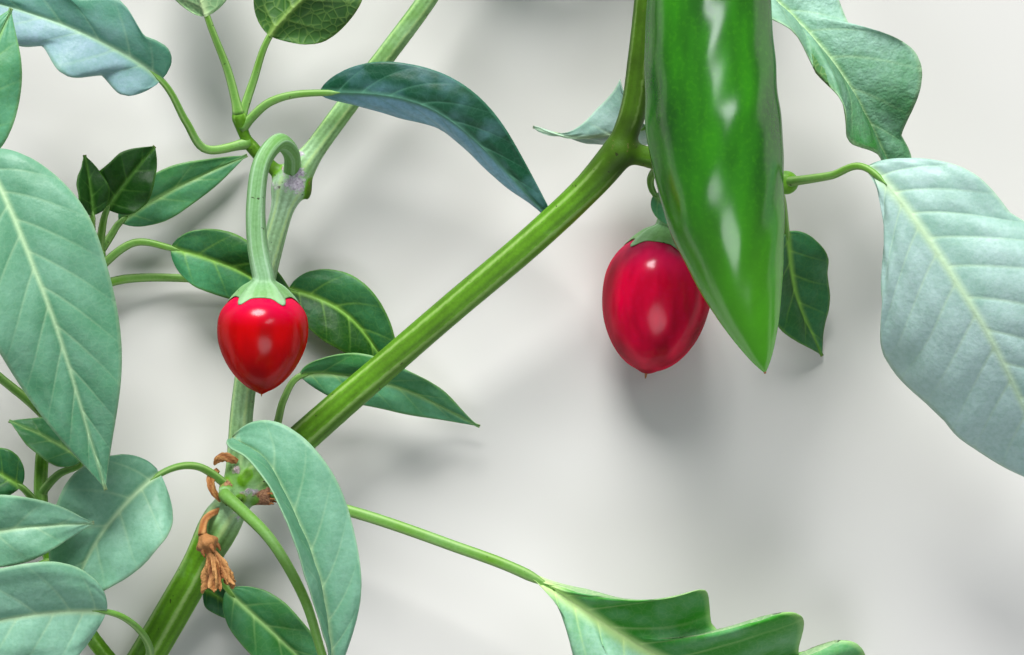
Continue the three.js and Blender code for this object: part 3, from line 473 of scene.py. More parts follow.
class Shape:
    """Closed surfaces gathered into one mesh, with three values at each point: tone for ribs and
    veins, for the painted shade in grooves, for the painted light and shade on the dried
    flower's folds, and for a pod's second colour, which is painted sheen on a red pod's
    shoulder; cork for corky or dry places; and shade for the base colour, which on a leaf is
    how much painted sheen it takes."""

    VALUES = ("tone", "cork", "shade")

    def __init__(self):
        self.points, self.values, self.faces, self.slots = [], [], [], []
        self.count = 0

    def add(self, places, faces, slot, *values):
        places = places.reshape(-1, 3)
        self.points.append(places)
        self.values.append(np.stack([np.broadcast_to(value, len(places)) for value in values]))
        for block in faces:
            self.faces.extend((block + self.count).tolist())
            self.slots.extend([slot] * len(block))
        self.count += len(places)

    def rings(self, places, slot=0, tone=0.0, cork=0.0, shade=0.5):
        """A surface of rings, closed at both ends: places is rings by sides by 3."""
        rings, sides = places.shape[:2]
        index = np.arange(rings * sides).reshape(rings, sides)
        after = np.roll(index, -1, axis=1)
        quads = np.stack([index[:-1], index[1:], after[1:], after[:-1]], -1).reshape(-1, 4)
        first, last = np.full(sides, rings * sides), np.full(sides, rings * sides + 1)
        blocks = [quads, np.stack([first, index[0], after[0]], -1),
                  np.stack([last, after[-1], index[-1]], -1)]
        whole = np.vstack([places.reshape(-1, 3), places[0].mean(axis=0), places[-1].mean(axis=0)])
        values = []
        for value in (tone, cork, shade):
            value = np.broadcast_to(value, (rings, sides))
            values.append(np.concatenate([value.ravel(), [value[0].mean(), value[-1].mean()]]))
        self.add(whole, blocks, slot, *values)

    def tube(self, frames, radii, slot=0, tone=0.0, cork=0.0, shade=0.5):
        out = spokes(frames, angles(radii.shape[1])) * radii[..., None]
        self.rings(frames[0][:, None] + out, slot, tone, cork, shade)

    def thread(self, points, radii, sides, slot, tone):
        """A round thread through a few points, with a row for each of its radii."""
        frames = stations(Course(points), np.linspace(0, 1, len(radii)))
        self.tube(frames, np.outer(radii, np.ones(sides)), slot, tone)

    def blade(self, top, under, slots, *values):
        """A thin sheet of two grids, joined round its margin."""
        rows, columns = top.shape[:2]
        index = np.arange(rows * columns).reshape(rows, columns)
        corners = [index[:-1, :-1], index[:-1, 1:], index[1:, 1:], index[1:, :-1]]
        quads = np.stack(corners, -1).reshape(-1, 4)
        loop = np.concatenate([index[0, :-1], index[:-1, -1], index[-1, :0:-1], index[:0:-1, 0]])
        after = np.roll(loop, -1)
        below = rows * columns
        wall = np.stack([loop + below, after + below, after, loop], -1)
        start = len(self.slots)
        self.add(np.concatenate([top.reshape(-1, 3), under.reshape(-1, 3)]),
                 [quads, wall, (quads + below)[:, ::-1]], slots[0],
                 *(np.tile(np.broadcast_to(value, (rows, columns)).ravel(), 2) for value in values))
        self.slots[start + len(quads) + len(wall):] = [slots[1]] * len(quads)

    def make(self, name, materials):
        mesh = bpy.data.meshes.new(name)
        mesh.from_pydata(((np.vstack(self.points) + SHIFT) * MM).tolist(), [], self.faces)
        mesh.polygons.foreach_set("material_index", self.slots)
        for title, values in zip(self.VALUES, np.hstack(self.values)):
            kept = mesh.attributes.new(title, "FLOAT", "POINT")
            kept.data.foreach_set("value", values.astype(np.float32))
        mesh.validate()
        mesh.shade_smooth()
        for material in materials:
            mesh.materials.append(material)
        return into_scene(name, mesh)


def settle(shape, name, materials, slot, *nodes):
    """Makes the shape's piece, which rides with the branch and stands for its nodes; its slot is
    not used."""
    piece = shape.make(name, materials)
    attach(piece, "root")
    if nodes:
        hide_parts(*nodes)


def evened(values, edges, rounds, share):
    """Each value drawn some rounds towards the mean of its neighbours' values."""
    one, other = edges.T
    count = len(values)
    around = np.bincount(edges.ravel(), minlength=count)[:, None]
    for _ in range(rounds):
        total = np.stack([np.bincount(one, values[other, k], count)
                          + np.bincount(other, values[one, k], count)
                          for k in range(values.shape[1])], -1)
        values = values + share * (total / around - values)
    return values


def read(parts, title, width, kind):
    """One property of a mesh's vertices, edges or corners, as rows of the given width."""
    found = np.empty(width * len(parts), kind)
    parts.foreach_get(title, found)
    return found.reshape(-1, width)


def grown_together(shape, voxel):
    """One skin over all the shape's surfaces, rounded where they join."""
    mesh = bpy.data.meshes.new("loose")
    points = np.vstack(shape.points).tolist()
    mesh.from_pydata(points, [], shape.faces)
    loose = into_scene("loose", mesh)
    joining = loose.modifiers.new("joining", "REMESH")
    joining.mode = "VOXEL"
    joining.voxel_size = voxel
    joined = loose.evaluated_get(bpy.context.evaluated_depsgraph_get()).to_mesh()
    places = read(joined.vertices, "co", 3, np.float32).astype(float)
    edges = read(joined.edges, "vertices", 2, np.int32)
    quads = read(joined.loops, "vertex_index", 1, np.int32).reshape(-1, 4)
    bpy.data.objects.remove(loose)
    bpy.data.meshes.remove(mesh)
    tree = kdtree.KDTree(shape.count)
    for i, point in enumerate(points):
        tree.insert(point, i)
    tree.balance()
    values = np.hstack(shape.values).T[[tree.find(point)[1] for point in places.tolist()]]
    near = np.zeros(len(places))
    for joint, reach in JOINTS:
        near = np.maximum(near, bell(np.linalg.norm(places - joint, axis=1), reach))
    # The whole skin is evened a little, and much more about the joints
    places = evened(places, edges, 3, 0.5)
    places = evened(places, edges, 26, 0.6 * smooth(0.2, 0.7, near)[:, None])
    values = evened(values, edges, 1, 0.5)
    values = evened(values, edges, 9, 0.6 * smooth(0.3, 0.8, near)[:, None] * np.array([1, 0.3, 1]))
    skin = Shape()
    skin.add(places, [quads], 0, *values.T)
    return skin


# Materials


def colour(code):
    """A colour from its six hexadecimal digits, as linear light."""
    parts = [int(code[i:i + 2], 16) / 255 for i in (0, 2, 4)]
    return tuple(c / 12.92 if c <= 0.04045 else ((c + 0.055) / 1.055) ** 2.4 for c in parts) + (1.0,)


class Finish:
    """A material whose tint is laid over in layers. An input takes a number, a colour's
    digits or another node's output."""

    def __init__(self, name, tint):
        self.material = bpy.data.materials.new(name)
        self.material.use_nodes = True
        self.tree = self.material.node_tree
        self.shader = self.tree.nodes["Principled BSDF"]
        self.place = self.node("ShaderNodeTexCoord").outputs["Object"]
        self.tint = tint

    def put(self, socket, value):
        if isinstance(value, bpy.types.NodeSocket):
            self.tree.links.new(value, socket)
        else:
            socket.default_value = colour(value) if isinstance(value, str) else value

    def node(self, kind, settings=(), **inputs):
        made = self.tree.nodes.new(kind)
        for title, value in dict(settings).items():
            setattr(made, title, value)
        for title, value in inputs.items():
            self.put(made.inputs[title.replace("_", " ")], value)
        return made

    def noise(self, scale, detail, roughness=0.55, place=None):
        return self.node("ShaderNodeTexNoise", Vector=place or self.place, Scale=scale,
                         Detail=detail, Roughness=roughness).outputs["Fac"]

    def cells(self, scale):
        return self.node("ShaderNodeTexVoronoi", {"feature": "DISTANCE_TO_EDGE"},
                         Vector=self.place, Scale=scale).outputs["Distance"]

    def value(self, title):
        return self.node("ShaderNodeAttribute", {"attribute_name": title}).outputs["Fac"]

    def ramp(self, source, low, high, start=0.0, end=1.0):
        return self.node("ShaderNodeMapRange", Value=source, From_Min=low, From_Max=high,
                         To_Min=start, To_Max=end).outputs["Result"]

    def cloud(self, scale, detail, low, high, start=0.0, end=1.0):
        return self.ramp(self.noise(scale, detail), low, high, start, end)

    def sum(self, first, second, way="ADD"):
        made = self.node("ShaderNodeMath", {"operation": way})
        self.put(made.inputs[0], first)
        self.put(made.inputs[1], second)
        return made.outputs[0]

    def plus(self, first, second, share):
        return self.sum(first, self.sum(second, share, "MULTIPLY"))

    def mix(self, share, first, second):
        return self.node("ShaderNodeMixRGB", Fac=share, Color1=first, Color2=second).outputs["Color"]

    def layer(self, share, tint):
        self.tint = self.mix(share, self.tint, tint)

    def relief(self, height, depth, strength):
        normal = self.node("ShaderNodeBump", Height=height, Distance=depth, Strength=strength)
        self.put(self.shader.inputs["Normal"], normal.outputs["Normal"])

    def shine(self, roughness, **numbers):
        for title, value in dict(Base_Color=self.tint, Roughness=roughness, **numbers).items():
            self.put(self.shader.inputs[title.replace("_", " ")], value)
        return self.material


def leaf_top(look, dark, light, vein, crinkle=0.0003):
    """The upper side: shade leads from the leaf's dark green to a light colour that is painted sheen, the
    sky's reflection, with paler veins and margin.
    """
    made = Finish("leaf_" + look, dark)
    broad = made.cloud(75, 3, 0.3, 0.7, -0.25, 0.25)
    made.layer(made.ramp(made.sum(made.value("shade"), broad), 0.0, 1.0), light)
    made.layer(made.cloud(900, 3, 0.4, 0.75, 0.0, 0.3), dark)
    made.layer(made.ramp(made.cells(560), 0.0, 0.09, 0.06, 0.0), vein)
    made.layer(made.ramp(made.value("tone"), 0.06, 0.95), vein)
    made.layer(made.ramp(made.value("cork"), 0.2, 1.0, 0.0, 0.8), "8a7a3c")
    made.relief(made.plus(made.noise(430, 2), made.noise(1800, 2), 0.3), crinkle, 0.55)
    return made.shine(made.cloud(160, 2, 0.3, 0.7, 0.42, 0.56), Specular_IOR_Level=0.32)


def leaf_under(name, dark, light, vein):
    """The lower side: paler and dull, its net of veins standing out."""
    made = Finish(name, dark)
    made.layer(made.cloud(70, 2, 0.35, 0.65), light)
    net = made.cells(480)
    made.layer(made.ramp(net, 0.0, 0.09, 0.35, 0.0), vein)
    made.layer(made.ramp(made.value("tone"), 0.06, 0.9), vein)
    made.relief(made.plus(made.ramp(net, 0.0, 0.2, 1.0, 0.0), made.noise(1400, 2), 0.4), 0.00012, 0.6)
    return made.shine(made.cloud(200, 2, 0.3, 0.7, 0.52, 0.68))


def stem_skin(name, pale, green, old, rib):
    """Green bark: shade leads from pale through green to old, tone lifts ribs and lays painted
    shade in the grooves, and cork breaks the skin into ragged corky patches."""
    made = Finish(name, pale)
    shade, tone = made.value("shade"), made.value("tone")
    at = made.sum(shade, made.cloud(110, 3, 0.3, 0.7, -0.1, 0.1))
    made.layer(made.ramp(at, 0.0, 0.5), green)
    made.layer(made.ramp(at, 0.5, 1.0), old)
    made.layer(made.cloud(1500, 3, 0.35, 0.75, 0.0, 0.28), old)
    # Painted shade: where tone is below nought, in grooves and hollows, the skin is darkened
    made.layer(made.ramp(tone, -0.7, -0.05, 0.55, 0.0), old)
    made.layer(made.ramp(tone, 0.05, 1.0, 0.0, 0.85), rib)
    made.layer(made.cloud(700, 1, 0.74, 0.77, 0.0, 0.8), "2c2a16")
    torn = made.ramp(made.noise(650, 4, 0.65), 0.3, 0.7, -0.35, 0.35)
    patch = made.ramp(made.sum(made.value("cork"), torn), 0.32, 0.62)
    grain = made.ramp(made.noise(1500, 4, 0.7), 0.35, 0.65)
    brown = made.mix(grain, "6a4636", "b98a68")
    grey = made.mix(grain, "958a98", "d8d0da")
    made.layer(patch, made.mix(made.ramp(shade, 0.3, 0.42), grey, brown))
    rough = made.sum(grain, patch, "MULTIPLY")
    made.relief(made.plus(rough, made.noise(2300, 2), 0.35), 0.00022, 0.7)
    return made.shine(made.ramp(patch, 0.0, 1.0, 0.5, 0.8), Specular_IOR_Level=0.25)


def pod_skin(name, dark, light, tint_and_sheen, speck_share, coat, coat_bend):
    """A taut, waxy skin with a soft second reflection."""
    made = Finish(name, dark)
    long = made.node("ShaderNodeMapping", Vector=made.place, Scale=(1, 0.28, 1)).outputs["Vector"]
    made.layer(made.ramp(made.noise(160, 2, 0.5, long), 0.3, 0.7), light)
    made.layer(made.cloud(900, 3, 0.5, 0.75, 0.0, speck_share), tint_and_sheen)
    # tone lays the second colour: painted sheen on a red pod's shoulder, a lighter green at the green
    # pod's end
    made.layer(made.ramp(made.value("tone"), 0.0, 1.0), tint_and_sheen)
    made.layer(made.ramp(made.value("cork"), 0.3, 0.8), "a88a5a")
    made.relief(made.plus(made.noise(190, 2), made.noise(1300, 1), 0.1), 0.00016, 0.5)
    return made.shine(made.cloud(120, 2, 0.3, 0.7, 0.24, 0.34), Specular_IOR_Level=0.0,
                      Coat_Weight=coat, Coat_Roughness=0.2, Coat_IOR=coat_bend)


def dry_skin(name, dark, light, thread):
    """Brown, papery and wrinkled."""
    made = Finish(name, dark)
    made.layer(made.cloud(260, 3, 0.3, 0.7), light)
    # tone lays the pale third colour: an even share on threads, sepals and styles, and painted light on
    # the dried flower's crests and ridges, with painted shade in its creases
    made.layer(made.ramp(made.value("tone"), 0.1, 1.0), thread)
    made.relief(made.noise(1300, 4, 0.65), 0.0005, 0.9)
    return made.shine(made.cloud(400, 2, 0.3, 0.7, 0.6, 0.85))


def cut_face(name, pith, rim, grain):
    """A stem cut across: pale pith within a green rim."""
    made = Finish(name, pith)
    made.layer(made.value("tone"), rim)
    made.layer(made.cloud(2200, 3, 0.35, 0.65, 0.0, 0.4), grain)
    made.relief(made.noise(2400, 3), 0.0003, 0.8)
    return made.shine(made.cloud(700, 2, 0.3, 0.7, 0.6, 0.8))


def floor_paint(name, dark, light):
    made = Finish(name, dark)
    made.layer(made.cloud(14, 2, 0.3, 0.7), light)
    return made.shine(made.cloud(40, 2, 0.3, 0.7, 0.8, 0.9), Specular_IOR_Level=0.0)


UNDER_DUSK = leaf_under("leaf_under_dusk", "1c460a", "326418", "7c9e48")
UNDER_DEEP = leaf_under("leaf_deep_under", "3c6e38", "568a4c", "9dbb72")
UNDER_PALE = leaf_under("leaf_pale_under", "648f5c", "86ab78", "b4cf94")
# Each look: its underside, then its top's dark green, a light colour that is painted sheen, the sky's
# reflection, and its veins' colour
LEAF_LOOKS = {look: (leaf_top(look, *tints), under) for look, under, *tints in (
    ("dusk", UNDER_DUSK, "154606", "2f6c36", "5e903c"),
    ("deep", UNDER_DEEP, "184a0a", "459060", "84b64a"),
    ("mid", UNDER_DEEP, "2a6e22", "62a480", "98c274"),
    ("teal", UNDER_DEEP, "0c462c", "8cbcd4", "5f987c"),
    ("lavender_sheen", UNDER_DEEP, "4f8a70", "9db6c6", "9cc09a"),
    ("pale", UNDER_PALE, "44825a", "80b096", "aecea0"),
    ("silver_sheen", UNDER_PALE, "62987c", "aecac4", "c2deb4"),
    ("fresh", UNDER_PALE, "2f8a1c", "9cc8b0", "c4e494"),
    ("crinkled", UNDER_DEEP, "1f7020", "9cc4b2", "b6d6a2", 0.0009),
)}
PETIOLE = stem_skin("petiole_skin", "86b078", "62942e", "3c6c10", "b0d084")
BARK = stem_skin("stem_bark", "b8dcb6", "649e1e", "34500c", "c2de90")
STALK = stem_skin("stalk_skin", "8ab48c", "70a456", "366618", "b4d2b4")
PODS = {
    "pod": pod_skin("red_pod_skin", "9c0002", "d00002", "d8084a", 0.05, 0.16, 2.2),
    "crimson": pod_skin("crimson_pod_skin", "90001a", "e8023c", "b4225c", 0.12, 0.16, 2.2),
    "green": pod_skin("green_pod_skin", "175400", "2a7c00", "62c808", 0.1, 0.46, 2.4),
}
DRY = dry_skin("dry_petal", "5e3214", "aa6830", "c08c52")
CUT = cut_face("cut_stem", "dfe3b4", "8fae52", "b9a97a")


# Limbs


def limb_radius(limb, share):
    swollen = (size * bell(share - place, spread) for place, size, spread in limb["nodes"])
    return 0.5 * blend(limb["diameters"], share) * sum(swollen, 1)


def patches(limb, share, turn):
    """How corky each point of a limb is, from 0 to 1: soft patches about its nodes."""
    total = sum(strength * bell(share - place, spread) * bell(turned(turn - angle), width)
                for place, angle, spread, width, strength in limb.get("cork", []))
    return np.minimum(1, total)


def add_limb(shape, limb, number):
    course = Course(limb["course"])
    limb["line"] = course
    rows, share, turn = grid(int(course.length / LIMB_ROW), limb["sides"])
    far = share * course.length
    step = 2 * math.pi / limb.get("ribs", LIMB_RIBS)
    swing = 0.5 * share + 0.2 + 0.06 * np.sin(far / 9)
    off = (turn + swing + step / 2) % step - step / 2
    rib = bell(off, RIB["width"])
    groove = bell(np.abs(off) - GROOVE["beside"], GROOVE["width"])
    streak = uneven(far / 16, turn * 5, number + 2)
    swollen = sum(bell(share - place, 1.6 * spread) for place, size, spread in limb["nodes"] if size > 0)
    lumps = uneven(far / 3.2, turn * 1.7, number + 9)
    cork = patches(limb, share, turn)
    relief = RIB["height"] * rib - GROOVE["depth"] * groove + STREAK_HEIGHT * streak
    relief = relief + LUMP_HEIGHT * lumps * swollen - SKIN_SUNK + CORK_HEIGHT * cork
    shade = blend(limb["shade"], share)
    # Darker old bark at the fork, and on the main stem a paler patch of painted light
    for place, depth, spread in limb.get("age_and_painted_light", []):
        shade = shade + depth * bell(share - place, spread)
    # Painted shade: tone drops below nought in the grooves, which darkens them
    tone = 0.8 * rib ** 1.5 - 0.55 * groove + 0.4 * streak * (1 - rib)
    tone = np.where(tone > 0, tone * (1.15 - 0.9 * shade), tone)
    shape.tube(stations(course, rows), limb_radius(limb, share) * (1 + relief), 0,
               np.clip(tone, -1, 1), cork, shade)


def add_knuckle(shape, place, radii, shade, cork):
    """A soft, uneven swelling."""
    _, height, turn = grid(KNUCKLE_ROWS, 28)
    around = np.sin(height * math.pi)
    x, y, z = around * np.cos(turn), around * np.sin(turn), -np.cos(height * math.pi)
    swell = 1 + 0.05 * uneven(x * 2 + place[0], y * 2 + z, 3)
    shape.rings(place + np.stack([x, y, z], -1) * swell[..., None] * radii, 0, 0.0, cork, shade)


def add_stub(shape):
    """The stump of a lost shoot, dry at its end."""
    rows, share, turn = grid(24, 40)
    wrinkle = 0.07 * np.sin(5 * turn + 1) * share + 0.05 * np.sin(11 * turn) * share ** 2
    cork = smooth(0.4, 0.75, share + 0.12 * np.sin(3 * turn))
    shape.tube(stations(Course(STUB["course"]), rows),
               0.5 * blend(STUB["diameters"], share) * (1 + wrinkle), 0, 0.1, cork)


def add_fibres(shape):
    """The torn fibres at the stump's end."""
    point, along, across, beside = (part[-1] for part in stations(Course(STUB["course"]), [0, 1]))
    for k in range(STUB["fibres"]):
        angle = 2.4 * k
        out = 0.5 * STUB["diameters"][1] * (0.25 + 0.065 * k)
        foot = point - 0.6 * along + (across * math.cos(angle) + beside * math.sin(angle)) * out
        tip = foot + along * (1.2 + 0.3 * (k % 3)) + across * 0.35 * math.sin(5 * k)
        shape.thread([foot, (foot + tip) / 2 + beside * 0.15, tip], np.linspace(0.36, 0.14, 5), 7, 2, 0.3)


def add_cut(shape, limb):
    """The clean cut across the foot of the branch, laid over the end of its bark."""
    frames = [part[:1] for part in stations(limb["line"], [0.0, 1.0])]
    points, along = frames[:2]
    shares, depths, tones = CUT_RINGS.T[..., None]
    rim = 0.5 * limb["diameters"][0] * CUT_RIM
    out = spokes(frames, angles(64)) * (rim * shares)[..., None]
    discs = points[:, None] + out + (depths[..., None] - CUT_LAID_OVER) * along
    shape.rings(np.concatenate([discs[::-1], discs[:1] + 0.5 * along]), 1,
                np.concatenate([tones[::-1], tones[:1]]))


def grow_limbs():
    shape = Shape()
    for number, limb in enumerate(LIMBS):
        add_limb(shape, limb, number)
    add_stub(shape)
    for knuckle in KNUCKLES:
        add_knuckle(shape, *knuckle)
    skin = grown_together(shape, STEM_VOXEL)
    add_cut(skin, LIMBS[0])
    add_fibres(skin)
    settle(skin, "branch_bark", [BARK, CUT, DRY], "stem", *(limb["name"] for limb in LIMBS))
    return {limb["name"]: limb["line"] for limb in LIMBS}


# Leaves


def blade_outline(share, widest, full):
    fall = full * (1 - widest) / widest
    return (share / widest) ** full * ((1 - share) / (1 - widest)) ** fall


def blade_rows(veins):
    """Rows of a blade, bunched about the veins of both sides, which alternate."""
    rows = {0.004, 0.012, 0.025, 0.985, 0.996, 1.0}
    for k in range(2 * veins):
        for offset in ROWS_NEAR_VEIN:
            rows.add(round((0.5 * k + 0.25 + offset) / veins, 6))
    return np.array(sorted(row for row in rows if 0 < row <= 1))


def blade_half(leaf, end, left, phase):
    """Half the width of a blade where its side veins end, with its lobes and waves."""
    swing, count, starts = leaf["lobe"]
    lobes = 2 * math.pi * count * end + np.where(left, *starts)
    lobes = np.maximum(lobes, np.where(left, leaf["first_lobe"], -math.inf))
    swing = swing * smooth(0.0, leaf["plain_base"], end)
    lobed = 1 + swing * (0.5 * np.sin(lobes) + 1.1 * np.abs(np.cos(0.5 * lobes - math.pi / 4)) - 0.6)
    lobed = lobed * (1 - np.where(left, *leaf["slim"]) * (1 - smooth(0.0, 0.42, end)))
    lobed = lobed + 0.025 * np.sin(phase + 0.9) * smooth(0.05, 0.3, end)
    outline = blade_outline(np.clip(end, 1e-6, 1 - 1e-6), leaf["widest"], leaf["full"])
    return np.maximum(BLADE_LEAST_HALF, 0.5 * leaf["width"] * outline * lobed)


def add_blade(shape, course, base, leaf, seed):
    """A blade whose rows follow its side veins, so that each vein is one line of the mesh."""
    width = leaf["width"]
    veins = max(4, round(course.length * (1 - base) / VEIN_SPACING))
    row = blade_rows(veins)[:, None]
    side = np.linspace(0, 1, 11 + round(width / 3)) ** 1.3
    side = np.concatenate([-side[:0:-1], side])[None, :]
    off, left = np.abs(side), side < 0
    start = row ** VEIN_START_POWER
    end = 1 - (1 - row) ** VEIN_END_POWER
    share = start + (end - start) * off ** VEIN_BEND
    phase = 2 * math.pi * leaf["waves"] * end + seed * 1.7 + left * 2.1
    half = blade_half(leaf, end, left, phase)
    lateral = half * off
    place = base + (1 - base) * share

    along = course.along(place)
    across = unit(np.cross(along, unit(leaf["face"])))
    up = np.cross(across, along)
    across = across * np.sign(side)[..., None]
    folds = np.radians(np.atleast_1d(leaf["fold"]).astype(float))
    rise = np.where(left, folds[0], folds[-1])[..., None]
    lean = rise * smooth(0.0, 0.14, off)[..., None]
    out = across * np.cos(rise) + up * np.sin(rise)
    normal = up * np.cos(lean) - across * np.sin(lean)

    beat = np.where(left, veins * row + 0.5, veins * row)
    distance = np.abs((beat + 0.75) % 1 - 0.5)
    vein = bell(distance, VEIN_WIDTH) * smooth(0.0, 0.04, off) * (1 - 0.75 * off) * smooth(0.0, 0.1, row)
    puff = smooth(0.0, 0.5, distance) ** 0.7 * smooth(0.02, 0.25, off) * (1 - off ** 6)
    rib = bell(lateral, leaf["rib"] * (0.45 + 0.35 * (1 - row)))
    ripple = leaf["wave"] * width * off ** 2 * np.sin(phase) * np.sin(math.pi * end) ** 0.5
    drift = 0.022 * width * uneven(share * 5, side * 2.2, seed) * off
    arch = 0.06 * half * np.sin(math.pi * off)
    lift = ripple + drift + arch + width / 25 * (VEIN_PUFF * puff - VEIN_SINK * vein)
    thickness = BLADE_THICKNESS * (1 - 0.4 * off)
    keel = 0.7 * rib * (1 - share) ** 0.5 + 0.2 * vein
    middle = course.at(place) + out * lateral[..., None]
    top = middle + normal * (lift + 0.5 * thickness - 0.14 * rib)[..., None]
    under = middle + normal * (lift - 0.5 * thickness - keel)[..., None]

    margin = smooth(0.93, 1.0, off)
    tone = np.clip(0.95 * rib * (1 - 0.45 * share) + 0.4 * vein + 0.4 * margin, 0, 1)
    # Painted sheen: painted_sheen sets the shade value, a little higher on the swellings between veins
    *sides, growth = leaf["painted_sheen"]
    shade = blend((np.mean(sides), np.where(left, *sides)), smooth(0, 0.1, off))
    shade = shade + growth * share + 0.12 * puff - 0.06
    scorched = 0.6 * smooth(0.965, 1.0, share)
    shape.blade(top, under, (0, 1), tone, scorched, np.clip(shade, 0, 1))


def add_petiole(shape, course, end, diameter, sides=16, taper=PETIOLE_END):
    """A petiole with a foot and a channel on its upper side."""
    rows, share, turn = grid(max(8, int(course.length * end / 0.9)), sides)
    foot = (FOOT_DIAMETER / PETIOLE_DIAMETER - 1) * np.maximum(0, 1 - share / FOOT_SHARE) ** 1.5
    radius = 0.5 * diameter * (1 + (taper - 1) * share + foot) * (1 - 0.8 * smooth(0.9, 1.0, share))
    channel = 1 - 0.16 * bell(turned(turn), 0.5) * smooth(0.05, 0.3, share)
    # Painted shade: the channel on the upper side is darkened
    tone = 0.6 * bell(np.abs(turned(turn)) - 0.75, 0.3) - 0.3 * bell(turned(turn), 0.3)
    shape.tube(stations(course, end * rows), radius * channel, 2, tone, 0.0, 0.4)


def grow_leaf(leaf, carriers, number):
    first, *others = leaf["petiole"]
    course = Course([nearest(carriers[leaf["on"]], first), *others, *leaf["blade"]])
    base = course.share_of(len(others) + 1)
    shape = Shape()
    add_blade(shape, course, base, leaf, number + 1)
    add_petiole(shape, course, base + (1 - base) * MIDRIB_START,
                PETIOLE_DIAMETER * leaf["thick_petiole"], taper=leaf["petiole_end"])
    materials = [*LEAF_LOOKS[leaf["look"]], PETIOLE]
    settle(shape, leaf["name"] + "_blade", materials, "leaf", leaf["name"])


# Leafy tips


def random_from(seed):
    state = seed
    while True:
        state = (state * 16807) % 2147483647
        yield state / 2147483647


def grow_tip(tip, carriers):
    """The solid's shoot and leaves by the same draws, and young leaves between them."""
    draws = random_from(tip["seed"] * SEED_STEP)
    start = carriers[tip["on"]].at(1.0)
    grow = unit(tip["grow"])
    end = start + grow * tip["length"]
    shoot = Course([start, (start + end) / 2 + TIP_SHOOT["bend"], end])
    side = unit(np.cross(grow, (0, 0, 1)))
    up = np.cross(side, grow)
    shape = Shape()
    rows, share, turn = grid(40, 24)
    rib = bell((turn * 5 / (2 * math.pi)) % 1 - 0.5, 0.2)
    radius = 0.5 * blend(TIP_SHOOT["diameters"], share) * (1 + 0.06 * rib)
    shape.tube(stations(shoot, rows), radius, 2, 0.7 * rib)

    def leaf_on(share, turn, size, tilt, seed):
        face = (tilt * (next(draws) - 0.5), tilt * (next(draws) - 0.5), 1)
        way = side * math.cos(turn) + up * TIP_LEAF["flat"] * math.sin(turn)
        way = unit(way * blend(TIP_LEAF["opening"], share) + grow * blend(TIP_LEAF["forward"], share))
        root = shoot.at(share)
        falls = (-TIP_LEAF["arch"], -TIP_LEAF["arch"], tip["droop"])
        course = Course([root, *(root + way * far * size - (0, 0, fall * size)
                                 for far, fall in zip(TIP_LEAF["reach"], falls))])
        base = course.share_of(1)
        blade = {**LEAF_PLAIN, "width": TIP_LEAF["width"] * size, "face": face,
                 "fold": TIP_LEAF["fold"], "wave": TIP_LEAF["wave"]}
        add_blade(shape, course, base, blade, seed)
        add_petiole(shape, course, base + MIDRIB_START, TIP_LEAF["stalk"] * min(1, size / 30), 12)

    for i in range(tip["leaves"]):
        share = TIP_LEAF["first"] + (1 - TIP_LEAF["first"]) * (i + 1) / tip["leaves"]
        turn = TIP_LEAF["turn"] * i + TIP_LEAF["stray"] * next(draws)
        size = blend(TIP_LEAF["length"], share) * (1 + TIP_LEAF["uneven"] * (next(draws) - 0.5))
        leaf_on(share, turn, size, TIP_LEAF["tilt"], tip["seed"] + i)
    for i in range(YOUNG_LEAF["count"]):
        share, turn, size = (YOUNG_LEAF["first"] + YOUNG_LEAF["step"] * i).tolist()
        leaf_on(share, turn, size, YOUNG_LEAF["tilt"], YOUNG_LEAF["seed"] + i)
    materials = [*LEAF_LOOKS[tip["look"]], PETIOLE]
    settle(shape, tip["name"] + "_leaves", materials, "leaf", tip["name"])


# Fruits


def pointed(share, start, power):
    """How a fruit narrows from its full width to its end."""
    reach = np.clip((share - start) / (1 - start), 0, 1)
    return np.cos(reach * math.pi / 2) ** power


def heart_outline(share):
    upper = np.sqrt(1 - (1 - np.minimum(1, share / HEART["widest"])) ** HEART["shoulder"])
    return upper * pointed(share, HEART["widest"], HEART["point"])


def egg_outline(share):
    middle = EGG["widest"]
    reach = np.where(share < middle, (middle - share) / middle, (share - middle) / (1 - middle))
    power = np.where(share < middle, EGG["shoulder"], EGG["point"])
    return np.sqrt(np.maximum(0, 1 - reach ** power))


def horn_outline(share):
    filled = blend((HORN["neck"], 1), np.minimum(1, share / HORN["full"]))
    upper = np.sqrt(np.minimum(1, share / HORN["shoulder"])) * filled
    return upper * pointed(share, HORN["full"], HORN["point"])


OUTLINES = {"heart": heart_outline, "egg": egg_outline, "horn": horn_outline}


def fruit_radius(fruit, share):
    return 0.5 * fruit["diameter"] * np.maximum(LEAST_POINT, OUTLINES[fruit["outline"]](share))


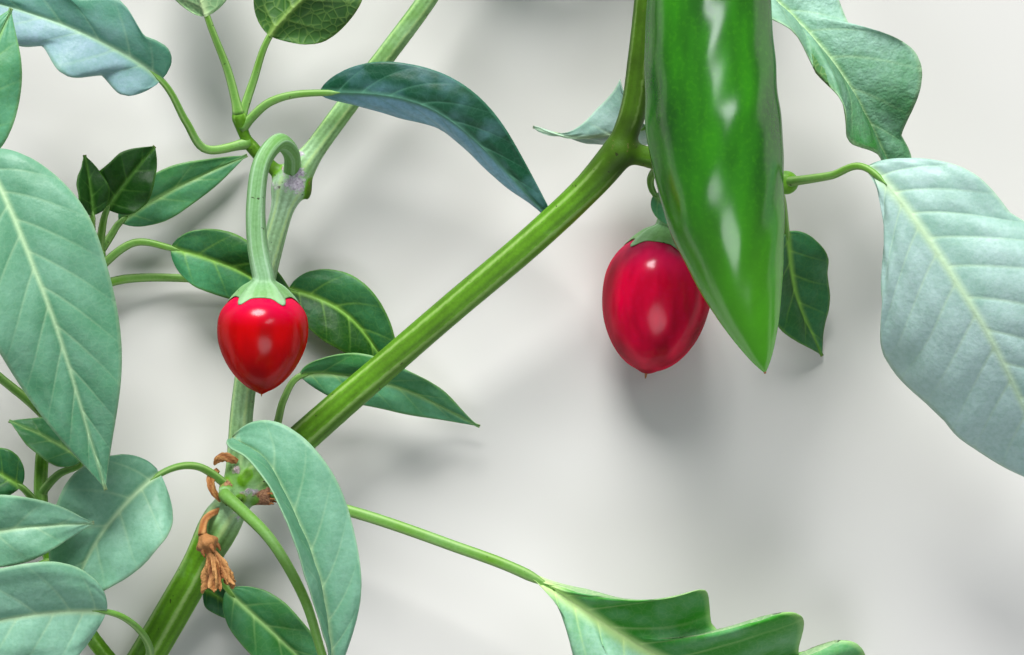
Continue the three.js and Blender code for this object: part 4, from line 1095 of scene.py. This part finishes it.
def grow_fruit(fruit, number):
    """A pod with soft lobes at its shoulder and the scar of the flower at its end."""
    course = straight(*fruit["axis"]) if "axis" in fruit else Course(fruit["course"])
    fruit["line"] = course
    spaced = (1 - np.cos(np.linspace(0, math.pi, FRUIT_GRID))) / 2
    rows, share, turn = grid(spaced, FRUIT_GRID)
    count, depth = fruit["lobes"]
    lobed = depth * np.cos(count * turn + number) * bell(share - 0.12, 0.3)
    far = share * course.length / fruit["diameter"]
    waves = uneven(far * 1.7 + np.sin(turn), 1.1 * np.cos(turn), number + 4)
    soft = fruit["undulation"] * waves * np.sin(math.pi * share) ** 0.7
    radius = fruit_radius(fruit, share) * (1 + lobed + soft - depth / 2)
    points, along, across, beside = stations(course, rows)
    drawn = np.maximum(0, rows - NIPPLE_START) / (1 - NIPPLE_START)
    points = points + along * (fruit["nipple"] * drawn ** 2)[:, None]
    shape = Shape()
    # Painted sheen on a red pod's shoulder, and a lighter green towards the green pod's end
    shoulder, end = fruit["tint_and_sheen"]
    tint_and_sheen = shoulder * (1 - smooth(0.06, 0.36, share)) + end * smooth(0.5, 0.95, share)
    shape.tube((points, along, across, beside), radius, 0, tint_and_sheen, smooth(0.9988, 0.9997, share))
    tip, way = points[-1], along[-1]
    thick, thin, length = fruit["style"]
    shape.thread([tip - way * 0.4, tip + way * length / 2 + across[-1] * 0.1, tip + way * length],
                 np.linspace(thick, thin, 6), 12, 1, 0.5)
    slot = "green_pod" if fruit["look"] == "green" else "red_pod"
    settle(shape, fruit["name"] + "_skin", [PODS[fruit["look"]], DRY], slot, fruit["name"])


def shoulder_depth(fruit, radius):
    """How far below the top of the fruit its shoulder has each radius."""
    share = np.linspace(0, 0.34, 400)
    return np.interp(radius, fruit_radius(fruit, share), share) * fruit["line"].length


def grow_stalk(fruit, carriers):
    """A ribbed stalk that opens into a toothed cap on the shoulder of its fruit."""
    cap, line = fruit["cap"], fruit["line"]
    top, way = line.at(0.0), line.along(0.0)
    root = nearest(carriers[fruit["on"]], fruit["stalk"][0])
    course = Course([root, *fruit["stalk"][1:], top - way * cap["neck"]])
    rows, share, turn = grid(max(20, int(course.length / STALK_ROW)), 70)
    rib = 0.5 + 0.5 * np.cos(CAP_TEETH * (turn - cap["turned"]))
    ripple = np.sin(17 * turn + 3 * np.sin(share * 9))
    collar = 0.22 * bell(share, 0.05)
    radius = 0.5 * blend(fruit["stalk_diameters"], share ** STALK_SWELL)
    radius = radius * (0.97 + 0.06 * rib ** 2 + 0.009 * ripple + collar)
    frames = stations(course, rows)
    ring = spokes(frames, turn[0])
    stalk = frames[0][:, None] + ring * radius[..., None]

    ring = unit(ring[-1] - (ring[-1] @ way)[:, None] * way)
    tooth = np.maximum(0, np.cos(CAP_TEETH * (turn[0] - cap["turned"]))) ** 2
    rim = 0.5 * cap["width"] * (1 - CAP_TOOTH + 0.4 * CAP_TOOTH * rib[0] + 1.5 * CAP_TOOTH * tooth)
    opened = np.linspace(0, 1, 30)[1:, None]
    start = radius[-1]
    spread = start + (rim - start) * (0.1 * opened + 0.9 * opened ** 1.45)
    above = (cap["neck"] + 0.2) * (1 - opened) ** 2 + 0.35 * rib[0] ** 3 * np.sin(math.pi * opened)
    above = above + (CAP_THICKNESS * (1 - opened ** 5) + CAP_LIFT) * smooth(0.0, 0.6, opened)
    back = np.array([1.0, 0.8, 0.5, 0.2])[:, None]
    inner = start + (rim - 0.15 - start) * back
    flare, below = (top + ring * reach[..., None] + way * (shoulder_depth(fruit, reach) - lift)[..., None]
                    for reach, lift in ((spread, above), (inner, 0.05)))

    streak = 0.16 * ripple + 0.12 * np.sin(29 * turn + 5 * share)
    # Painted shade: the hollows between the ribs are darkened
    tone = np.clip(0.45 * rib ** 4 - 0.2 * (1 - rib) ** 3 + streak, -1, 1)
    over = tone[-1:] * (1 - 0.4 * opened) + 0.3 * opened ** 4
    tones = np.concatenate([tone, over, np.repeat(tone[-1:], len(back), 0)])
    greener = np.concatenate([0.5 - 0.35 * share, 0.15 + 0.3 * opened + 0 * over,
                              np.full((len(back), len(start)), 0.5)])
    shape = Shape()
    shape.rings(np.concatenate([stalk, flare, below]), 0, np.clip(tones, -1, 1), 0.0, greener)
    settle(shape, fruit["stalk_name"] + "_cap", [STALK], "stalk", fruit["stalk_name"])


# The dried flower and the dry strands at the low node


def grow_flower(flower, carriers):
    root = nearest(carriers[flower["on"]], flower["stalk"][0])
    shape = Shape()
    rows, share, turn = grid(26, 18)
    twist = 0.16 * np.sin(3 * turn + 9 * share)
    # Painted light on the stalk's ridges and painted shade in its furrows: tone follows twist
    shape.tube(stations(Course([root, *flower["stalk"][1:]]), rows),
               (0.68 + 0.4 * share ** 3) * (1 + twist), 0, 0.5 + 3 * twist)

    rows, share, turn = grid(80, 120)
    opened = smooth(0.3, 0.6, share)
    ovary = 1.8 * bell(share - 0.18, 0.12) * (1 + 0.08 * np.sin(8 * turn + 2))
    fluted = 0.26 * np.sin(5 * turn + 3 * share) + 0.2 * np.sin(9 * turn - 7 * share + 1)
    crumpled = 0.18 * np.sin(17 * turn + 11 * share) + 0.16 * uneven(share * 9, turn * 3, 6)
    folds = (fluted + crumpled) * opened
    mouth = 3.3 * np.maximum(0, share - 0.35) ** 0.62
    radius = 0.95 + ovary + mouth * (1 + folds)
    frames = stations(Course(flower["bell"]), rows)
    points, along, across, beside = frames
    petal = np.abs(np.cos(2.5 * turn[0] + 0.3)) ** 0.55
    ragged = 3.4 * petal - 3.3 + 0.5 * np.sin(13 * turn[0]) + 0.3 * np.sin(31 * turn[0])
    reach = (smooth(0.45, 1.0, share) * ragged)[..., None] * along[:, None]
    ring = spokes(frames, turn[0])
    outer, inner = (points[:, None] + ring * far[..., None] + reach
                    for far in (radius, np.maximum(0.12, radius - PETAL_THICKNESS)))
    # Painted light on the crests of the folds and painted shade in their creases
    tone = np.clip(0.5 + 1.3 * folds, 0, 1)
    kept = rows > 0.42
    shape.rings(np.concatenate([outer, inner[kept][::-1]]), 0, np.concatenate([tone, tone[kept][::-1]]))

    point, along, across, beside = (part[SEPAL_ROW] for part in frames)
    for k in range(SEPALS):
        angle = 2 * math.pi * k / SEPALS + 0.4
        out = across * math.cos(angle) + beside * math.sin(angle)
        foot = point - along * 1.5 + out * 1.3
        tip = foot + along * 2.6 + out * 0.9
        shape.thread([foot, (foot + tip) / 2 + out * 0.4, tip], SEPAL_RADII, 10, 0, 0.2)
    settle(shape, flower["name"] + "_petals", [DRY], "dry_petals", flower["name"])


def grow_strands():
    """Curled, flat scales."""
    shape = Shape()
    for k, points in enumerate(STRANDS):
        rows, share, turn = grid(40, 24)
        points, _, across, beside = stations(Course(points), rows)
        wrinkle = 0.16 * np.sin(3 * turn + 12 * share + k) + 0.12 * np.sin(7 * turn - 20 * share)
        wide = np.sin(math.pi * np.clip(0.12 + 0.86 * share, 0, 1)) ** 0.6 * (1 + wrinkle)
        flat = across[:, None] * (0.22 * np.cos(turn) * wide)[..., None]
        flat = flat + beside[:, None] * (np.sin(turn) * wide)[..., None]
        shape.rings(points[:, None] + flat, 0, np.clip(0.4 + 2 * wrinkle, 0, 1))
    settle(shape, "dry_strands", [DRY], "dry_petals")


# The branch


carriers = grow_limbs()
for number, leaf in enumerate(LEAVES):
    grow_leaf(leaf, carriers, number)
for tip in TIPS:
    grow_tip(tip, carriers)
for number, fruit in enumerate(FRUITS):
    grow_fruit(fruit, number)
    grow_stalk(fruit, carriers)
grow_flower(FLOWER, carriers)
grow_strands()


# Floor, lights and camera


def lay_floor(reach):
    mesh = bpy.data.meshes.new("floor")
    corners = [(-reach, -reach, 0), (reach, -reach, 0), (reach, reach, 0), (-reach, reach, 0)]
    mesh.from_pydata(corners, [], [(0, 1, 2, 3)])
    mesh.materials.append(floor_paint("floor_paint", "d2d0cb", "d9d7d2"))
    into_scene("floor", mesh)


def add_light(name, kind, place, aim, power, tint, **settings):
    lamp = bpy.data.lights.new(name, kind)
    lamp.energy = power
    lamp.color = colour(tint)[:3]
    for title, value in settings.items():
        setattr(lamp, title, value)
    light = into_scene(name, lamp)
    light.location = place
    light.rotation_mode = "QUATERNION"
    light.rotation_quaternion = (Vector(aim) - Vector(place)).to_track_quat("-Z", "Y")


def set_lights():
    """A broad key light that falls evenly on the whole floor, and two soft lamps."""
    world = bpy.data.worlds.new("studio")
    world.use_nodes = True
    sky = world.node_tree.nodes["Background"]
    sky.inputs["Color"].default_value = colour("dce8f6")
    sky.inputs["Strength"].default_value = 0.2
    scene = bpy.context.scene
    scene.world = world
    scene.view_settings.view_transform = "Standard"
    add_light("key", "SUN", (-0.17, 1.3, 0.92), (0, 0, 0), 5.3, "ffffff", angle=math.radians(28))
    lamps = (("low", (0.1, -0.62, 0.92), 2.3, 0.6, 0.45), ("right", (0.42, 0.3, 1.05), 1.9, 0.2, 0.5))
    for name, place, power, wide, long in lamps:
        add_light(name, "AREA", place, (0, -0.01, 0.03), power, "f6faff",
                  shape="ELLIPSE", size=wide, size_y=long)


def set_camera():
    lens = bpy.data.cameras.new("camera")
    lens.sensor_width = 36
    lens.lens = 0.5 * lens.sensor_width * CAMERA_DISTANCE / PICTURE_HALF_WIDTH
    lens.clip_start, lens.clip_end = 0.05, 20
    camera = into_scene("camera", lens)
    height = FOCUS_HEIGHT + CAMERA_DISTANCE
    camera.location = Vector((*SHIFT[:2], height + SHIFT[2])) * MM
    bpy.context.scene.camera = camera


lay_floor(3)
set_lights()
set_camera()
